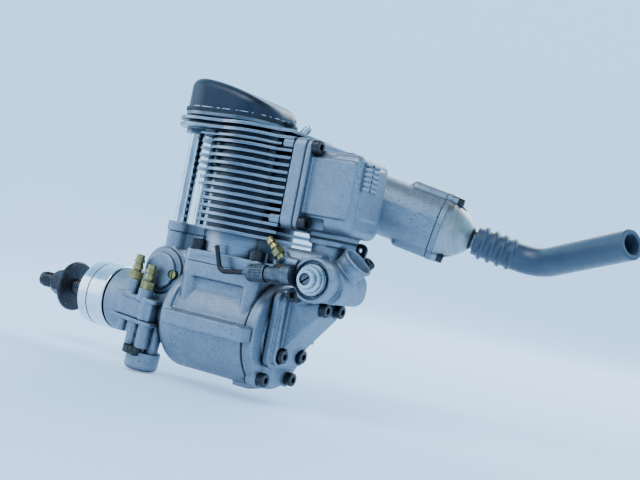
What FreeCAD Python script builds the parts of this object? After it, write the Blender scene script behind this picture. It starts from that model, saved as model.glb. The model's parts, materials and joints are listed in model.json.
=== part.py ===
import FreeCAD, Part
import math
import os

V = FreeCAD.Vector

# ---------------------------------------------------------------- driving dimensions, mm
# Drawn about the engine centre: +X forward along the crankshaft, +Y to the left side,
# +Z up the cylinder. The export moves the centre of the beam mount to the origin.
BORE_R = 14.0
THROW = 12.4
ROD_LENGTH = 47.0
CASE_R = 21.0
CASE_REAR = -19.5
CASE_FRONT = 22.5
CAVITY_R = 18.2
REAR_CAVITY_R = 17.4
RELIEF_R = 19.4
RELIEF_FRONT = 16.5
POST_END = 7.6
NOSE_R = 13.6
NOSE_FRONT = 57.5
HUB_R = 13.8
HUB_FRONT = 72.4
SHAFT_TIP = 106.9
THREAD_R = 3.5
SHAFT_R = 6.0
WASHER_REAR = 85.1
WASHER_R = 11.0

LUG_TOP = 3.1
LUG_BOTTOM = -2.5
LUG_HALF = 28.8
LUG_REAR = -23.9
LUG_FRONT = 13.9
LUG_CENTRE = -5.0
BEAM_X = 12.5
BEAM_Y = 25.0
BEAM_HOLE_R = 2.0

DECK = 73.3
BLOCK_TOP = 28.0
BLOCK_SEAM = 23.2
BLOCK_BOTTOM = 17.2
BLOCK_FRONT = 17.0
BLOCK_REAR = -20.0
BLOCK_HALF = 18.0
STUD_X = 14.5
STUD_Y = 14.6
STUD_CENTRE = -1.5
FIN_FIRST = 37.1
FIN_PITCH = 2.9
FIN_COUNT = 13
FIN_R = 22.0
FIN_T = 1.15
FIN_TAIL_HALF = 16.0
SCREW_POST_R = 2.7
LINER_R = 15.6
BARREL_R = 18.0

HEAD_X = 14.5
HEAD_TOP = 82.8
COVER_BASE = 83.4
COVER_A = 22.0
COVER_B = 17.2
COVER_REAR_Z = 87.4
COVER_MIDDLE_Z = 94.7
COVER_FRONT_Z = 97.0
VALVE_X = 2.0
VALVE_Y = 6.15
PIVOT_X = 16.0
PIVOT_Z = 88.2
PUSH_X = 30.5
CAM_Z = 16.3

CHAMBER_REAR = -51.5
CHAMBER_HALF = 12.6
CHAMBER_LOW = 43.5
CHAMBER_HIGH = 74.5
FLANGE_FRONT = -22.8
FLANGE_HALF = 16.2
FLANGE_LOW = 42.2
FLANGE_HIGH = 77.8
FLANGE_SPLIT = -28.3
FLANGE_REAR = -30.9
FLANGE_SCREW_Y = 13.4
FLANGE_SCREW_LOW = 45.2
FLANGE_SCREW_HIGH = 74.8

CARB_X = -44.5
CARB_Z = 25.3
RING_R = 8.5
RING_FACE = 20.5
NECK_X = -38.5
NECK_R = 7.4
NEEDLE_Y = 22.2
NEEDLE_Z = 24.3
NEEDLE_TILT = 7.4

SCREW_HEAD_R = 2.75
SCREW_HEAD_H = 3.0
SCREW_R = 1.45
HOLE_R = 1.52
SOCKET_R = 1.4
GASKET = 0.5
SLIP = 0.04

MUFFLER_R = 12.4
MUFFLER_START = 36.0
MUFFLER_JOINT = V(-62.6, -41.0, 55.85)
MUFFLER_YAW = 20.0
MUFFLER_DROP = 10.6
HOSE_R = 5.9
HOSE_BORE_R = 4.0
HOSE_START = 16.4
HOSE_BEND = 43.4
HOSE_END_AXIS = V(-0.85, 0.45, 0.27)
HOSE_END_LENGTH = 47.0
HOSE_BEND_R = 16.0

X_AXIS = V(1, 0, 0)
Y_AXIS = V(0, 1, 0)
Z_AXIS = V(0, 0, 1)
MOUNT_ORIGIN = V(LUG_CENTRE, 0, LUG_BOTTOM)


# ---------------------------------------------------------------- building blocks
def rod(radius, start, end):
    """Round bar between two points."""
    along = end - start
    return Part.makeCylinder(radius, along.Length, start, along)


def rod_x(radius, x0, x1, y=0.0, z=0.0):
    return rod(radius, V(x0, y, z), V(x1, y, z))


def rod_y(radius, y0, y1, x=0.0, z=0.0):
    return rod(radius, V(x, y0, z), V(x, y1, z))


def rod_z(radius, z0, z1, x=0.0, y=0.0):
    return rod(radius, V(x, y, z0), V(x, y, z1))


def taper(radius_start, radius_end, start, end):
    along = end - start
    return Part.makeCone(radius_start, radius_end, along.Length, start, along)


def box(x0, x1, y0, y1, z0, z1):
    """Block between two opposite corners, given in either order."""
    corner = V(min(x0, x1), min(y0, y1), min(z0, z1))
    return Part.makeBox(abs(x1 - x0), abs(y1 - y0), abs(z1 - z0), corner)


def edges_along(shape, axis):
    """The straight edges of a shape that run along an axis."""
    found = []
    for edge in shape.Edges:
        if isinstance(edge.Curve, Part.Line) and abs(edge.Curve.Direction.dot(axis)) > 0.999:
            found.append(edge)
    return found


def edges_at(shape, axis, level):
    """The edges that lie in the plane where axis . point = level."""
    found = []
    for edge in shape.Edges:
        low = edge.BoundBox
        spans = {"X": (low.XMin, low.XMax), "Y": (low.YMin, low.YMax), "Z": (low.ZMin, low.ZMax)}
        first, last = spans[axis]
        if abs(first - level) < 0.001 and abs(last - level) < 0.001:
            found.append(edge)
    return found


def soft_box(x0, x1, y0, y1, z0, z1, axis, corner):
    """Box whose four edges along an axis are rounded."""
    body = box(x0, x1, y0, y1, z0, z1)
    return body.makeFillet(corner, edges_along(body, axis))


def stadium_z(radius, half_span, z0, z1, x):
    """Upright bar of stadium section, long along Y."""
    middle = box(x - radius, x + radius, -half_span, half_span, z0, z1)
    ends = [rod_z(radius, z0, z1, x, side * half_span) for side in (-1, 1)]
    return middle.multiFuse(ends).removeSplitter()


def ring(outer, inner, start, end):
    return rod(outer, start, end).cut(rod(inner, start, end))


def hex_bar(across_flats, start, end):
    """Hexagonal bar between two points."""
    along = end - start
    radius = across_flats / math.sqrt(3)
    points = []
    for step in range(7):
        angle = math.radians(60 * step)
        points.append(V(radius * math.cos(angle), radius * math.sin(angle), 0))
    bar = Part.Face(Part.makePolygon(points)).extrude(V(0, 0, along.Length))
    bar.Placement = FreeCAD.Placement(start, FreeCAD.Rotation(Z_AXIS, along))
    return bar


def cap_screw(seat, outward, length, head_r=SCREW_HEAD_R, head_h=SCREW_HEAD_H, shank_r=SCREW_R):
    """Socket-head cap screw: seat is the point under the head, outward points out of the head."""
    out = V(outward).normalize()
    top = seat + out * head_h
    head = rod(head_r, seat, top)
    head = head.makeChamfer(head_r * 0.12, [head.Edges[0]])
    shank = rod(shank_r, seat - out * length, seat + out * 0.2)
    socket = hex_bar(SOCKET_R * 1.73 * head_r / SCREW_HEAD_R, top - out * head_h * 0.6, top + out)
    return head.fuse(shank).cut(socket).removeSplitter()


def cap_screws(seats, outward, length, **sizes):
    return Part.makeCompound([cap_screw(seat, outward, length, **sizes) for seat in seats])


def shank_holes(seats, outward, length, radius=HOLE_R):
    """Cutters for the shanks of a set of screws, a little longer than the screws."""
    out = V(outward).normalize()
    return [rod(radius, seat - out * (length + 0.4), seat + out * 0.5) for seat in seats]


def cut_all(shape, cutters):
    return shape.cut(cutters)


def corners(half_a, half_b):
    return [(side_a * half_a, side_b * half_b) for side_a in (-1, 1) for side_b in (-1, 1)]


# ---------------------------------------------------------------- screw places
STUD_SEATS = [V(STUD_CENTRE + a, b, BLOCK_TOP) for a, b in corners(STUD_X, STUD_Y)]
STUD_LENGTH = 14.0
STUD_HEAD_R = 3.5
STUD_HEAD_H = 4.0
STUD_SHANK_R = 1.95
STUD_HOLE_R = 2.02
REAR_COVER_REAR = -24.5
REAR_SEATS = [V(REAR_COVER_REAR, side * 10.2, -16.4) for side in (-1, 1)]
REAR_LENGTH = 8.0
HOUSING_MID = -28.0
HOUSING_REAR = -31.0
FLANGE_BACK = -30.2
LOW_HOUSING_SEATS = [V(FLANGE_BACK + 1.2, side * 7.2, -6.2) for side in (-1, 1)]
LOW_HOUSING_LENGTH = 3.6
STRUT_REAR = -43.0
TOP_HOUSING_SEATS = [V(STRUT_REAR, side * 5.8, 14.6) for side in (-1, 1)]
FLANGE_SEATS = [
    V(FLANGE_REAR, side * FLANGE_SCREW_Y, z)
    for side in (-1, 1)
    for z in (FLANGE_SCREW_LOW, FLANGE_SCREW_HIGH)
]
FLANGE_SCREW_LENGTH = 11.0
HEAD_SCREW_Z = 77.4
HEAD_SEATS = [V(a, b, HEAD_SCREW_Z) for a, b in corners(12.2, 12.2)]
HEAD_SCREW_LENGTH = 12.0


# ---------------------------------------------------------------- crankcase
def crankcase_outside():
    barrel = rod_x(CASE_R, CASE_REAR, CASE_FRONT)
    barrel = barrel.makeFillet(4.5, edges_at(barrel, "X", CASE_FRONT))
    relief = ring(CASE_R + 1, RELIEF_R, V(CASE_REAR - 1, 0, 0), V(RELIEF_FRONT, 0, 0))
    barrel = barrel.cut(relief.common(box(-30, 30, -30, 30, LUG_TOP, CASE_R)))
    shoulder = taper(17.5, NOSE_R, V(CASE_FRONT - 4, 0, 0), V(34, 0, 0))
    nose = rod_x(NOSE_R, 20, NOSE_FRONT)
    nose = nose.makeFillet(0.8, edges_at(nose, "X", NOSE_FRONT))
    upper = soft_box(BLOCK_REAR + 0.4, BLOCK_FRONT - 0.6, -15.6, 15.6, 0, BLOCK_BOTTOM, Z_AXIS, 2.5)
    deck = soft_box(BLOCK_REAR, BLOCK_FRONT, -BLOCK_HALF, BLOCK_HALF, BLOCK_BOTTOM, BLOCK_SEAM, Z_AXIS, 3.0)
    slope = [V(CASE_REAR, 14.2, 15.0), V(CASE_REAR, 19.0, LUG_TOP), V(CASE_REAR, -19.0, LUG_TOP)]
    slope += [V(CASE_REAR, -14.2, 15.0), V(CASE_REAR, 14.2, 15.0)]
    sides = Part.Face(Part.makePolygon(slope)).extrude(V(CASE_FRONT - 5.5 - CASE_REAR, 0, 0))
    pieces = [shoulder, nose, upper, deck, sides]
    for a, b in corners(STUD_X, STUD_Y):
        x = STUD_CENTRE + a
        pieces.append(rod_z(3.5, POST_END, BLOCK_BOTTOM, x, b))
        pieces.append(Part.makeSphere(3.5, V(x, b, POST_END)))
    pieces.append(soft_box(-18.2, -9.5, -6.5, 6.5, -CASE_R - 1.0, -15, Z_AXIS, 1.2))
    pieces.append(soft_box(LUG_REAR, LUG_FRONT, -LUG_HALF, LUG_HALF, LUG_BOTTOM, LUG_TOP, Z_AXIS, 1.6))
    return barrel.multiFuse(pieces)


def cam_box_outside():
    """Housing of the cross camshaft in front of the cylinder, with the tappet boss on top."""
    drum = rod_y(10.4, -10.6, 10.6, PUSH_X, CAM_Z)
    neck = soft_box(PUSH_X - 10.4, PUSH_X + 9.4, -10.0, 10.0, 0, CAM_Z, Y_AXIS, 1.0)
    boss = stadium_z(4.5, VALVE_Y, CAM_Z, 33.2, PUSH_X)
    rear_web = box(12, PUSH_X, -7.5, 7.5, 4, 22.5)
    return [drum, neck, boss, rear_web]


def crankcase():
    body = crankcase_outside().multiFuse(cam_box_outside())
    pump_pad = soft_box(27.5, 44.5, 0, 13.15, -6.5, 4.0, Y_AXIS, 2.0)
    body = body.fuse(pump_pad)
    cutters = [
        rod_x(REAR_CAVITY_R, CASE_REAR - 1, -5.0),
        rod_x(CAVITY_R, -6.0, 11.4),
        rod_x(CASE_R + 0.3, -30, CASE_REAR),
        rod_x(12.04, 11.4, 19.2),
        rod_x(8.6, 19.0, 48.0),
        rod_x(6.6, 47.0, NOSE_FRONT + 1),
        rod_x(10.54, 50.0, NOSE_FRONT + 1),
        rod_z(BORE_R - 0.3, 0, 20.5),
        rod_z(LINER_R + 0.1, 19.8, BLOCK_SEAM + 1),
        rod_y(9.1, -8.6, 8.6, PUSH_X, CAM_Z),
        rod_y(5.54, -10.7, 10.7, PUSH_X, CAM_Z),
        rod_y(9.8, -24, -10.6, PUSH_X, CAM_Z),
        rod_y(9.8, 10.6, 24, PUSH_X, CAM_Z),
    ]
    for side in (-1, 1):
        cutters.append(rod_z(3.05, 20, 34, PUSH_X, side * VALVE_Y))
    for a, b in corners(BEAM_X, BEAM_Y):
        cutters.append(rod_z(BEAM_HOLE_R, LUG_BOTTOM - 1, LUG_TOP + 1, LUG_CENTRE + a, b))
    cutters += shank_holes(STUD_SEATS, Z_AXIS, STUD_LENGTH, STUD_HOLE_R)
    cutters += shank_holes(REAR_SEATS, -X_AXIS, REAR_LENGTH)
    return cut_all(body, cutters).removeSplitter()


def rear_cover():
    plate = rod_x(CASE_R - 0.2, REAR_COVER_REAR, CASE_REAR - GASKET)
    plate = plate.makeFillet(0.9, edges_at(plate, "X", REAR_COVER_REAR))
    ears = [rod_x(3.5, REAR_COVER_REAR, CASE_REAR - GASKET, seat.y, seat.z) for seat in REAR_SEATS]
    boss = rod_x(13.5, REAR_COVER_REAR - 0.4, CASE_REAR - GASKET)
    body = plate.multiFuse(ears + [boss])
    cutters = shank_holes(REAR_SEATS, -X_AXIS, REAR_LENGTH)
    cutters.append(rod_x(3.04, -30, CASE_REAR))
    cutters.append(rod_x(4.0, -30, CASE_REAR, 0.0, 8.6))
    return cut_all(body, cutters).removeSplitter()


def rear_gasket():
    sheet = rod_x(CASE_R - 0.1, CASE_REAR - GASKET, CASE_REAR)
    cutters = [rod_x(REAR_CAVITY_R, CASE_REAR - 1, CASE_REAR + 1)]
    cutters += shank_holes(REAR_SEATS, -X_AXIS, REAR_LENGTH)
    ears = [rod_x(3.4, CASE_REAR - GASKET, CASE_REAR, seat.y, seat.z) for seat in REAR_SEATS]
    return cut_all(sheet.multiFuse(ears), cutters).removeSplitter()


# ---------------------------------------------------------------- crank train
def crankshaft():
    web_profile = rod_x(16.6, 4.0, 10.4)
    slab_high = box(3, 11, -20, -8.5, -2.0, 20)
    slab_low = box(3, 11, 8.5, 20, -2.0, 20)
    relief = box(3, 11, -20, 20, 7.2, 20)
    web = web_profile.cut([slab_high, slab_low, relief])
    web = web.fuse(box(4.0, 10.4, -8.5, 8.5, -16.0, 0))
    journal = rod_x(SHAFT_R, 4.0, NOSE_FRONT + 0.4)
    front = rod_x(4.6, NOSE_FRONT, HUB_FRONT)
    thread = rod_x(THREAD_R - 0.35, HUB_FRONT, SHAFT_TIP)
    thread = thread.makeChamfer(0.8, edges_at(thread, "X", SHAFT_TIP))
    crests = []
    crest_pitch = 1.0
    crest_count = int((SHAFT_TIP - HUB_FRONT - 2.0) / crest_pitch)
    for step in range(crest_count):
        x = HUB_FRONT + 0.6 + step * crest_pitch
        crests.append(taper(THREAD_R - 0.35, THREAD_R, V(x, 0, 0), V(x + 0.5, 0, 0)))
        crests.append(taper(THREAD_R, THREAD_R - 0.35, V(x + 0.5, 0, 0), V(x + 1.0, 0, 0)))
    pin_stub = rod_x(3.0, 3.5, 5.0, 0, -THROW)
    return web.multiFuse([journal, front, thread, pin_stub] + crests).removeSplitter()


def crank_gear():
    """Skew gear on the crankshaft that drives the cross camshaft."""
    blank = rod_x(7.6, 25.5, 35.5)
    teeth = []
    count = 14
    for step in range(count):
        angle = 2 * math.pi * step / count
        teeth.append(rod_x(0.75, 25, 36, 7.9 * math.cos(angle), 7.9 * math.sin(angle)))
    teeth.append(rod_x(SHAFT_R + SLIP, 25, 36))
    return cut_all(blank, teeth)


def bearing_sets():
    """Rear and front ball bearings: (centre x, width, outer radius, bore radius)."""
    return [(15.1, 7.0, 12.0, SHAFT_R), (53.2, 5.6, 10.5, SHAFT_R)]


def bearing_parts():
    outers = []
    inners = []
    balls = []
    for x, width, outer_r, bore_r in bearing_sets():
        x0 = x - width / 2
        x1 = x + width / 2
        pitch_r = (outer_r + bore_r) / 2
        ball_r = (outer_r - bore_r) * 0.29
        groove = Part.makeTorus(pitch_r, ball_r + 0.05, V(x, 0, 0), X_AXIS)
        outers.append(ring(outer_r, pitch_r + ball_r * 0.6, V(x0, 0, 0), V(x1, 0, 0)).cut(groove))
        inners.append(ring(pitch_r - ball_r * 0.6, bore_r + SLIP, V(x0, 0, 0), V(x1, 0, 0)).cut(groove))
        count = 9
        for step in range(count):
            angle = 2 * math.pi * step / count
            place = V(x, pitch_r * math.cos(angle), pitch_r * math.sin(angle))
            balls.append(Part.makeSphere(ball_r, place))
    return Part.makeCompound(outers), Part.makeCompound(inners), Part.makeCompound(balls)


def drive_hub():
    """Polished drive hub with a rear skirt, a waist line and a knurled front rim."""
    body = rod_x(HUB_R, NOSE_FRONT + 0.5, HUB_FRONT)
    body = body.makeChamfer(0.7, edges_at(body, "X", HUB_FRONT))
    body = body.makeFillet(0.5, edges_at(body, "X", NOSE_FRONT + 0.5))
    cutters = [ring(HUB_R + 1, HUB_R - 0.35, V(66.5, 0, 0), V(67.1, 0, 0))]
    cutters.append(rod_x(4.6 + SLIP, 50, 80))
    cutters.append(ring(11.5, 7.0, V(NOSE_FRONT, 0, 0), V(NOSE_FRONT + 5, 0, 0)))
    count = 48
    for step in range(count):
        angle = 2 * math.pi * step / count
        tip = V(HUB_FRONT + 0.25, (HUB_R - 2.6) * math.cos(angle), (HUB_R - 2.6) * math.sin(angle))
        end = V(HUB_FRONT + 0.25, 6.2 * math.cos(angle), 6.2 * math.sin(angle))
        cutters.append(rod(0.4, end, tip))
    return cut_all(body, cutters).removeSplitter()


def prop_washer():
    """Dished washer: flat rim toward the hub and a raised collar toward the nut."""
    profile = [
        V(WASHER_REAR, THREAD_R + 0.15, 0),
        V(WASHER_REAR + 0.4, WASHER_R - 0.5, 0),
        V(WASHER_REAR + 0.9, WASHER_R, 0),
        V(WASHER_REAR + 1.9, WASHER_R, 0),
        V(WASHER_REAR + 2.4, WASHER_R - 0.6, 0),
        V(WASHER_REAR + 3.2, 7.4, 0),
        V(WASHER_REAR + 5.0, 6.2, 0),
        V(WASHER_REAR + 5.4, 5.6, 0),
        V(WASHER_REAR + 5.4, THREAD_R + 0.15, 0),
        V(WASHER_REAR, THREAD_R + 0.15, 0),
    ]
    return Part.Face(Part.makePolygon(profile)).revolve(V(0, 0, 0), X_AXIS, 360)


def prop_nut():
    start = V(WASHER_REAR + 5.5, 0, 0)
    end = start + V(6.2, 0, 0)
    nut = hex_bar(10.6, start, end)
    nut = nut.common(taper(7.2, 4.7, start, end + V(2.6, 0, 0)))
    return nut.cut(rod_x(THREAD_R + 0.02, 80, 110))


def connecting_rod():
    pin_z = ROD_LENGTH - THROW
    big = rod_x(5.4, -3.0, 3.0, 0, -THROW)
    small = rod_x(4.2, -3.0, 3.0, 0, pin_z)
    shank = box(-1.9, 1.9, -2.8, 2.8, -THROW + 4, pin_z - 3)
    flutes = [box(1.1, 3, -1.7, 1.7, -5, pin_z - 7), box(-3, -1.1, -1.7, 1.7, -5, pin_z - 7)]
    body = big.multiFuse([small, shank]).cut(flutes)
    return cut_all(body, [rod_x(3.1, -4, 4, 0, -THROW), rod_x(2.55, -4, 4, 0, pin_z)])


def piston():
    pin_z = ROD_LENGTH - THROW
    body = rod_z(BORE_R - 0.05, pin_z - 8, pin_z + 12.0)
    hollow = rod_z(BORE_R - 2.0, pin_z - 9, pin_z + 9.4)
    groove = ring(BORE_R + 1, BORE_R - 1.2, V(0, 0, pin_z + 10.0), V(0, 0, pin_z + 11.0))
    bosses = [rod_x(4.6, 4.0, 12.6, 0, pin_z), rod_x(4.6, -12.6, -4.0, 0, pin_z)]
    shell = body.cut(hollow)
    bosses = [boss.common(rod_z(BORE_R - 0.5, 0, 80)) for boss in bosses]
    return shell.multiFuse(bosses).cut([groove, rod_x(2.54, -15, 15, 0, pin_z)]).removeSplitter()


def piston_ring():
    pin_z = ROD_LENGTH - THROW
    body = ring(BORE_R - 0.02, BORE_R - 1.1, V(0, 0, pin_z + 10.04), V(0, 0, pin_z + 10.96))
    return body.cut(box(10, 16, -0.15, 0.15, 0, 80))


def wrist_pin():
    pin_z = ROD_LENGTH - THROW
    return ring(2.5, 1.4, V(-12.2, 0, pin_z), V(12.2, 0, pin_z))


# ---------------------------------------------------------------- cam and valve train
def camshaft():
    """Cross shaft with its drive gear between two lobes, base circles toward the tappets."""
    shaft = rod_y(3.0, -10.9, 10.9, PUSH_X, CAM_Z)
    pieces = [rod_y(8.2, -2.4, 2.4, PUSH_X, CAM_Z)]
    for side in (-1, 1):
        y = side * VALVE_Y
        base = rod_y(4.2, y - 1.9, y + 1.9, PUSH_X, CAM_Z)
        angle = math.radians(-90 + side * 52)
        nose = rod_y(2.2, y - 1.9, y + 1.9, PUSH_X + 4.4 * math.cos(angle), CAM_Z + 4.4 * math.sin(angle))
        pieces += [base, nose]
    body = shaft.multiFuse(pieces)
    teeth = []
    count = 28
    for step in range(count):
        angle = 2 * math.pi * step / count
        teeth.append(rod_y(0.42, -3, 3, PUSH_X + 8.3 * math.cos(angle), CAM_Z + 8.3 * math.sin(angle)))
    return cut_all(body, teeth).removeSplitter()


def cam_bearings():
    sleeves = []
    for side in (-1, 1):
        sleeves.append(ring(5.5, 3.05, V(PUSH_X, side * 8.8, CAM_Z), V(PUSH_X, side * 10.5, CAM_Z)))
    return Part.makeCompound(sleeves)


def cam_cover():
    """Round left cover of the cam box, with a stepped flange and a flat on its rear edge."""
    flange = rod_y(9.4, 10.65, 12.2, PUSH_X, CAM_Z)
    flange = flange.makeFillet(0.6, edges_at(flange, "Y", 12.2))
    dome = rod_y(7.4, 12.0, 14.3, PUSH_X, CAM_Z)
    dome = dome.makeFillet(1.0, edges_at(dome, "Y", 14.3))
    plug_hole = rod(1.75, V(PUSH_X - 6.4, 11.3, CAM_Z - 0.8), V(PUSH_X - 6.4, 18, CAM_Z - 0.8))
    return flange.fuse(dome).cut([plug_hole, rod_y(3.2, 10, 11.2, PUSH_X, CAM_Z)]).removeSplitter()


def cam_cover_screw():
    """Brass lock screw let into the rim of the cam cover."""
    seat = V(PUSH_X - 6.4, 11.4, CAM_Z - 0.8)
    body = rod(1.7, seat, seat + V(0, 2.2, 0))
    slot = box(seat.x - 0.25, seat.x + 0.25, seat.y + 1.6, seat.y + 4, seat.z - 3, seat.z + 3)
    return body.cut(slot)


def cam_plug():
    flange = rod_y(9.0, -12.0, -10.65, PUSH_X, CAM_Z)
    flange = flange.makeFillet(0.6, edges_at(flange, "Y", -12.0))
    return flange.cut(rod_y(3.2, -11.2, -10, PUSH_X, CAM_Z))


def tappet_housing():
    """Cap on the tappet boss that seats the pushrod tubes."""
    cap = stadium_z(5.0, VALVE_Y, 33.25, 37.2, PUSH_X)
    cap = cap.makeFillet(0.5, edges_at(cap, "Z", 37.2))
    cutters = []
    for side in (-1, 1):
        cutters.append(rod_z(2.92, 35.0, 38, PUSH_X, side * VALVE_Y))
        cutters.append(rod_z(2.2, 33, 36, PUSH_X, side * VALVE_Y))
    return cut_all(cap, cutters)


def tappet(y):
    body = rod_z(3.0, 23.4, 30.4, PUSH_X, y)
    return body.cut(Part.makeSphere(1.4, V(PUSH_X, y, 30.9)))


def pushrod(y):
    shaft = rod_z(1.2, 30.9, PIVOT_Z - 1.4, PUSH_X, y)
    balls = [Part.makeSphere(1.35, V(PUSH_X, y, z)) for z in (30.9, PIVOT_Z - 1.4)]
    return shaft.multiFuse(balls)


def pushrod_tubes():
    tubes = [ring(2.85, 2.45, V(PUSH_X, y, 35.05), V(PUSH_X, y, 75.6)) for y in (-VALVE_Y, VALVE_Y)]
    return Part.makeCompound(tubes)


def rocker_arm(y):
    """Rocker with a cup over the pushrod at the front and a pad over the valve stem."""
    hub = rod_y(3.4, y - 2.6, y + 2.6, PIVOT_X, PIVOT_Z)
    front_end = V(PUSH_X, y, PIVOT_Z + 2.2)
    rear_end = V(VALVE_X, y, PIVOT_Z + 0.7)
    front_arm = rod(1.9, V(PIVOT_X, y, PIVOT_Z + 0.6), front_end)
    rear_arm = rod(1.3, V(PIVOT_X, y, PIVOT_Z + 0.7), rear_end)
    cup = rod_z(2.3, PIVOT_Z + 0.1, PIVOT_Z + 3.2, PUSH_X, y)
    pad = rod_z(1.9, PIVOT_Z - 0.5, PIVOT_Z + 1.3, VALVE_X, y)
    body = hub.multiFuse([front_arm, rear_arm, cup, pad])
    trim = [rod_y(1.8, y - 4, y + 4, PIVOT_X, PIVOT_Z)]
    trim.append(box(-2, 6, y - 3, y + 3, PIVOT_Z - 3, PIVOT_Z - 0.55))
    return cut_all(body, trim).removeSplitter()


def rocker_shaft():
    shaft = rod_y(1.75, -13.0, 13.0, PIVOT_X, PIVOT_Z)
    pedestals = [soft_box(PIVOT_X - 3, PIVOT_X + 3, side * 11.3 - 1.5, side * 11.3 + 1.5, 81.5, PIVOT_Z + 2.4, Y_AXIS, 1.0)
                 for side in (-1, 1)]
    middle = soft_box(PIVOT_X - 3, PIVOT_X + 3, -2.4, 2.4, 81.5, PIVOT_Z + 2.4, Y_AXIS, 1.0)
    return shaft.multiFuse(pedestals + [middle]).removeSplitter()


def valve(y):
    stem_top = PIVOT_Z - 0.85
    stem = rod_z(1.5, 74.6, stem_top, VALVE_X, y)
    stem = stem.makeChamfer(0.4, edges_at(stem, "Z", stem_top))
    head = rod_z(5.2, 73.75, 74.6, VALVE_X, y)
    tulip = taper(4.6, 1.5, V(VALVE_X, y, 74.6), V(VALVE_X, y, 76.6))
    body = stem.multiFuse([head, tulip]).removeSplitter()
    return Part.makeCompound([body, retainer(y)])


def valve_spring(y):
    """Coil spring between the head pocket and the retainer."""
    pitch = 1.1
    height = 5.3
    helix = Part.makeHelix(pitch, height, 3.1)
    section = Part.Wire(Part.makeCircle(0.38, V(3.1, 0, 0), Y_AXIS))
    coil = Part.Wire(helix).makePipeShell([section], True, True)
    coil.translate(V(VALVE_X, y, 79.5))
    return coil


def retainer(y):
    disc = rod_z(4.1, PIVOT_Z - 2.9, PIVOT_Z - 1.6, VALVE_X, y)
    return disc.cut(rod_z(1.5 + SLIP, 80, 90, VALVE_X, y))


# ---------------------------------------------------------------- cylinder and head
def liner():
    tube = ring(LINER_R - 0.05, BORE_R, V(0, 0, 20.0), V(0, 0, DECK))
    return tube


def full_fin(low, high):
    """A round fin squared off toward the intake flange."""
    tail = box(FLANGE_FRONT + 0.15, -6.0, -FIN_TAIL_HALF, FIN_TAIL_HALF, low, high)
    return rod_z(FIN_R, low, high).fuse(tail).removeSplitter()


def fin_plate(index):
    """One cooling fin. The upper fins reach forward beside the pushrod tubes."""
    low = FIN_FIRST + FIN_PITCH * index - FIN_T / 2
    high = low + FIN_T
    disc = full_fin(low, high)
    if index >= 6:
        reach = 24.8 if index < 8 else 27.2
        tongue = soft_box(4.0, reach, -9.4, 9.4, low, high, Z_AXIS, 3.4)
        disc = disc.fuse(tongue).removeSplitter()
    return disc


def cylinder():
    seam = BLOCK_SEAM + 0.1
    base = soft_box(BLOCK_REAR, BLOCK_FRONT, -BLOCK_HALF, BLOCK_HALF, seam, BLOCK_TOP, Z_AXIS, 3.0)
    base = base.makeFillet(0.8, edges_at(base, "Z", BLOCK_TOP))
    barrel = rod_z(BARREL_R, BLOCK_TOP - 1, DECK)
    head_bosses = [rod_z(2.7, 62.0, DECK, seat.x, seat.y) for seat in HEAD_SEATS]
    fins = [fin_plate(index) for index in range(FIN_COUNT)]
    port = soft_box(FLANGE_FRONT + 0.1, -14.0, -12.4, 12.4, 50.0, 71.5, X_AXIS, 3.0)
    screw_posts = [rod_x(SCREW_POST_R, FLANGE_FRONT + 0.1, -18.3, seat.y, seat.z) for seat in FLANGE_SEATS]
    body = base.multiFuse([barrel, port] + head_bosses + fins + screw_posts)
    cutters = [rod_z(LINER_R, 20, 80), rod_x(5.0, -30, -16.6, 0, 64.0)]
    cutters += shank_holes(STUD_SEATS, Z_AXIS, STUD_LENGTH, STUD_HOLE_R)
    cutters += [rod_z(STUD_HEAD_R + 0.3, BLOCK_TOP, BLOCK_TOP + 5.5, seat.x, seat.y) for seat in STUD_SEATS]
    cutters += shank_holes(HEAD_SEATS, Z_AXIS, HEAD_SCREW_LENGTH)
    cutters += shank_holes(FLANGE_SEATS, -X_AXIS, FLANGE_SCREW_LENGTH)
    for side in (-1, 1):
        cutters.append(rod_z(3.15, 36, 80, PUSH_X, side * VALVE_Y))
    return cut_all(body, cutters).removeSplitter()


def rounded_plate(half_a, half_b, corner, z0, z1):
    return soft_box(HEAD_X - half_a, HEAD_X + half_a, -half_b, half_b, z0, z1, Z_AXIS, corner)


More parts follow.
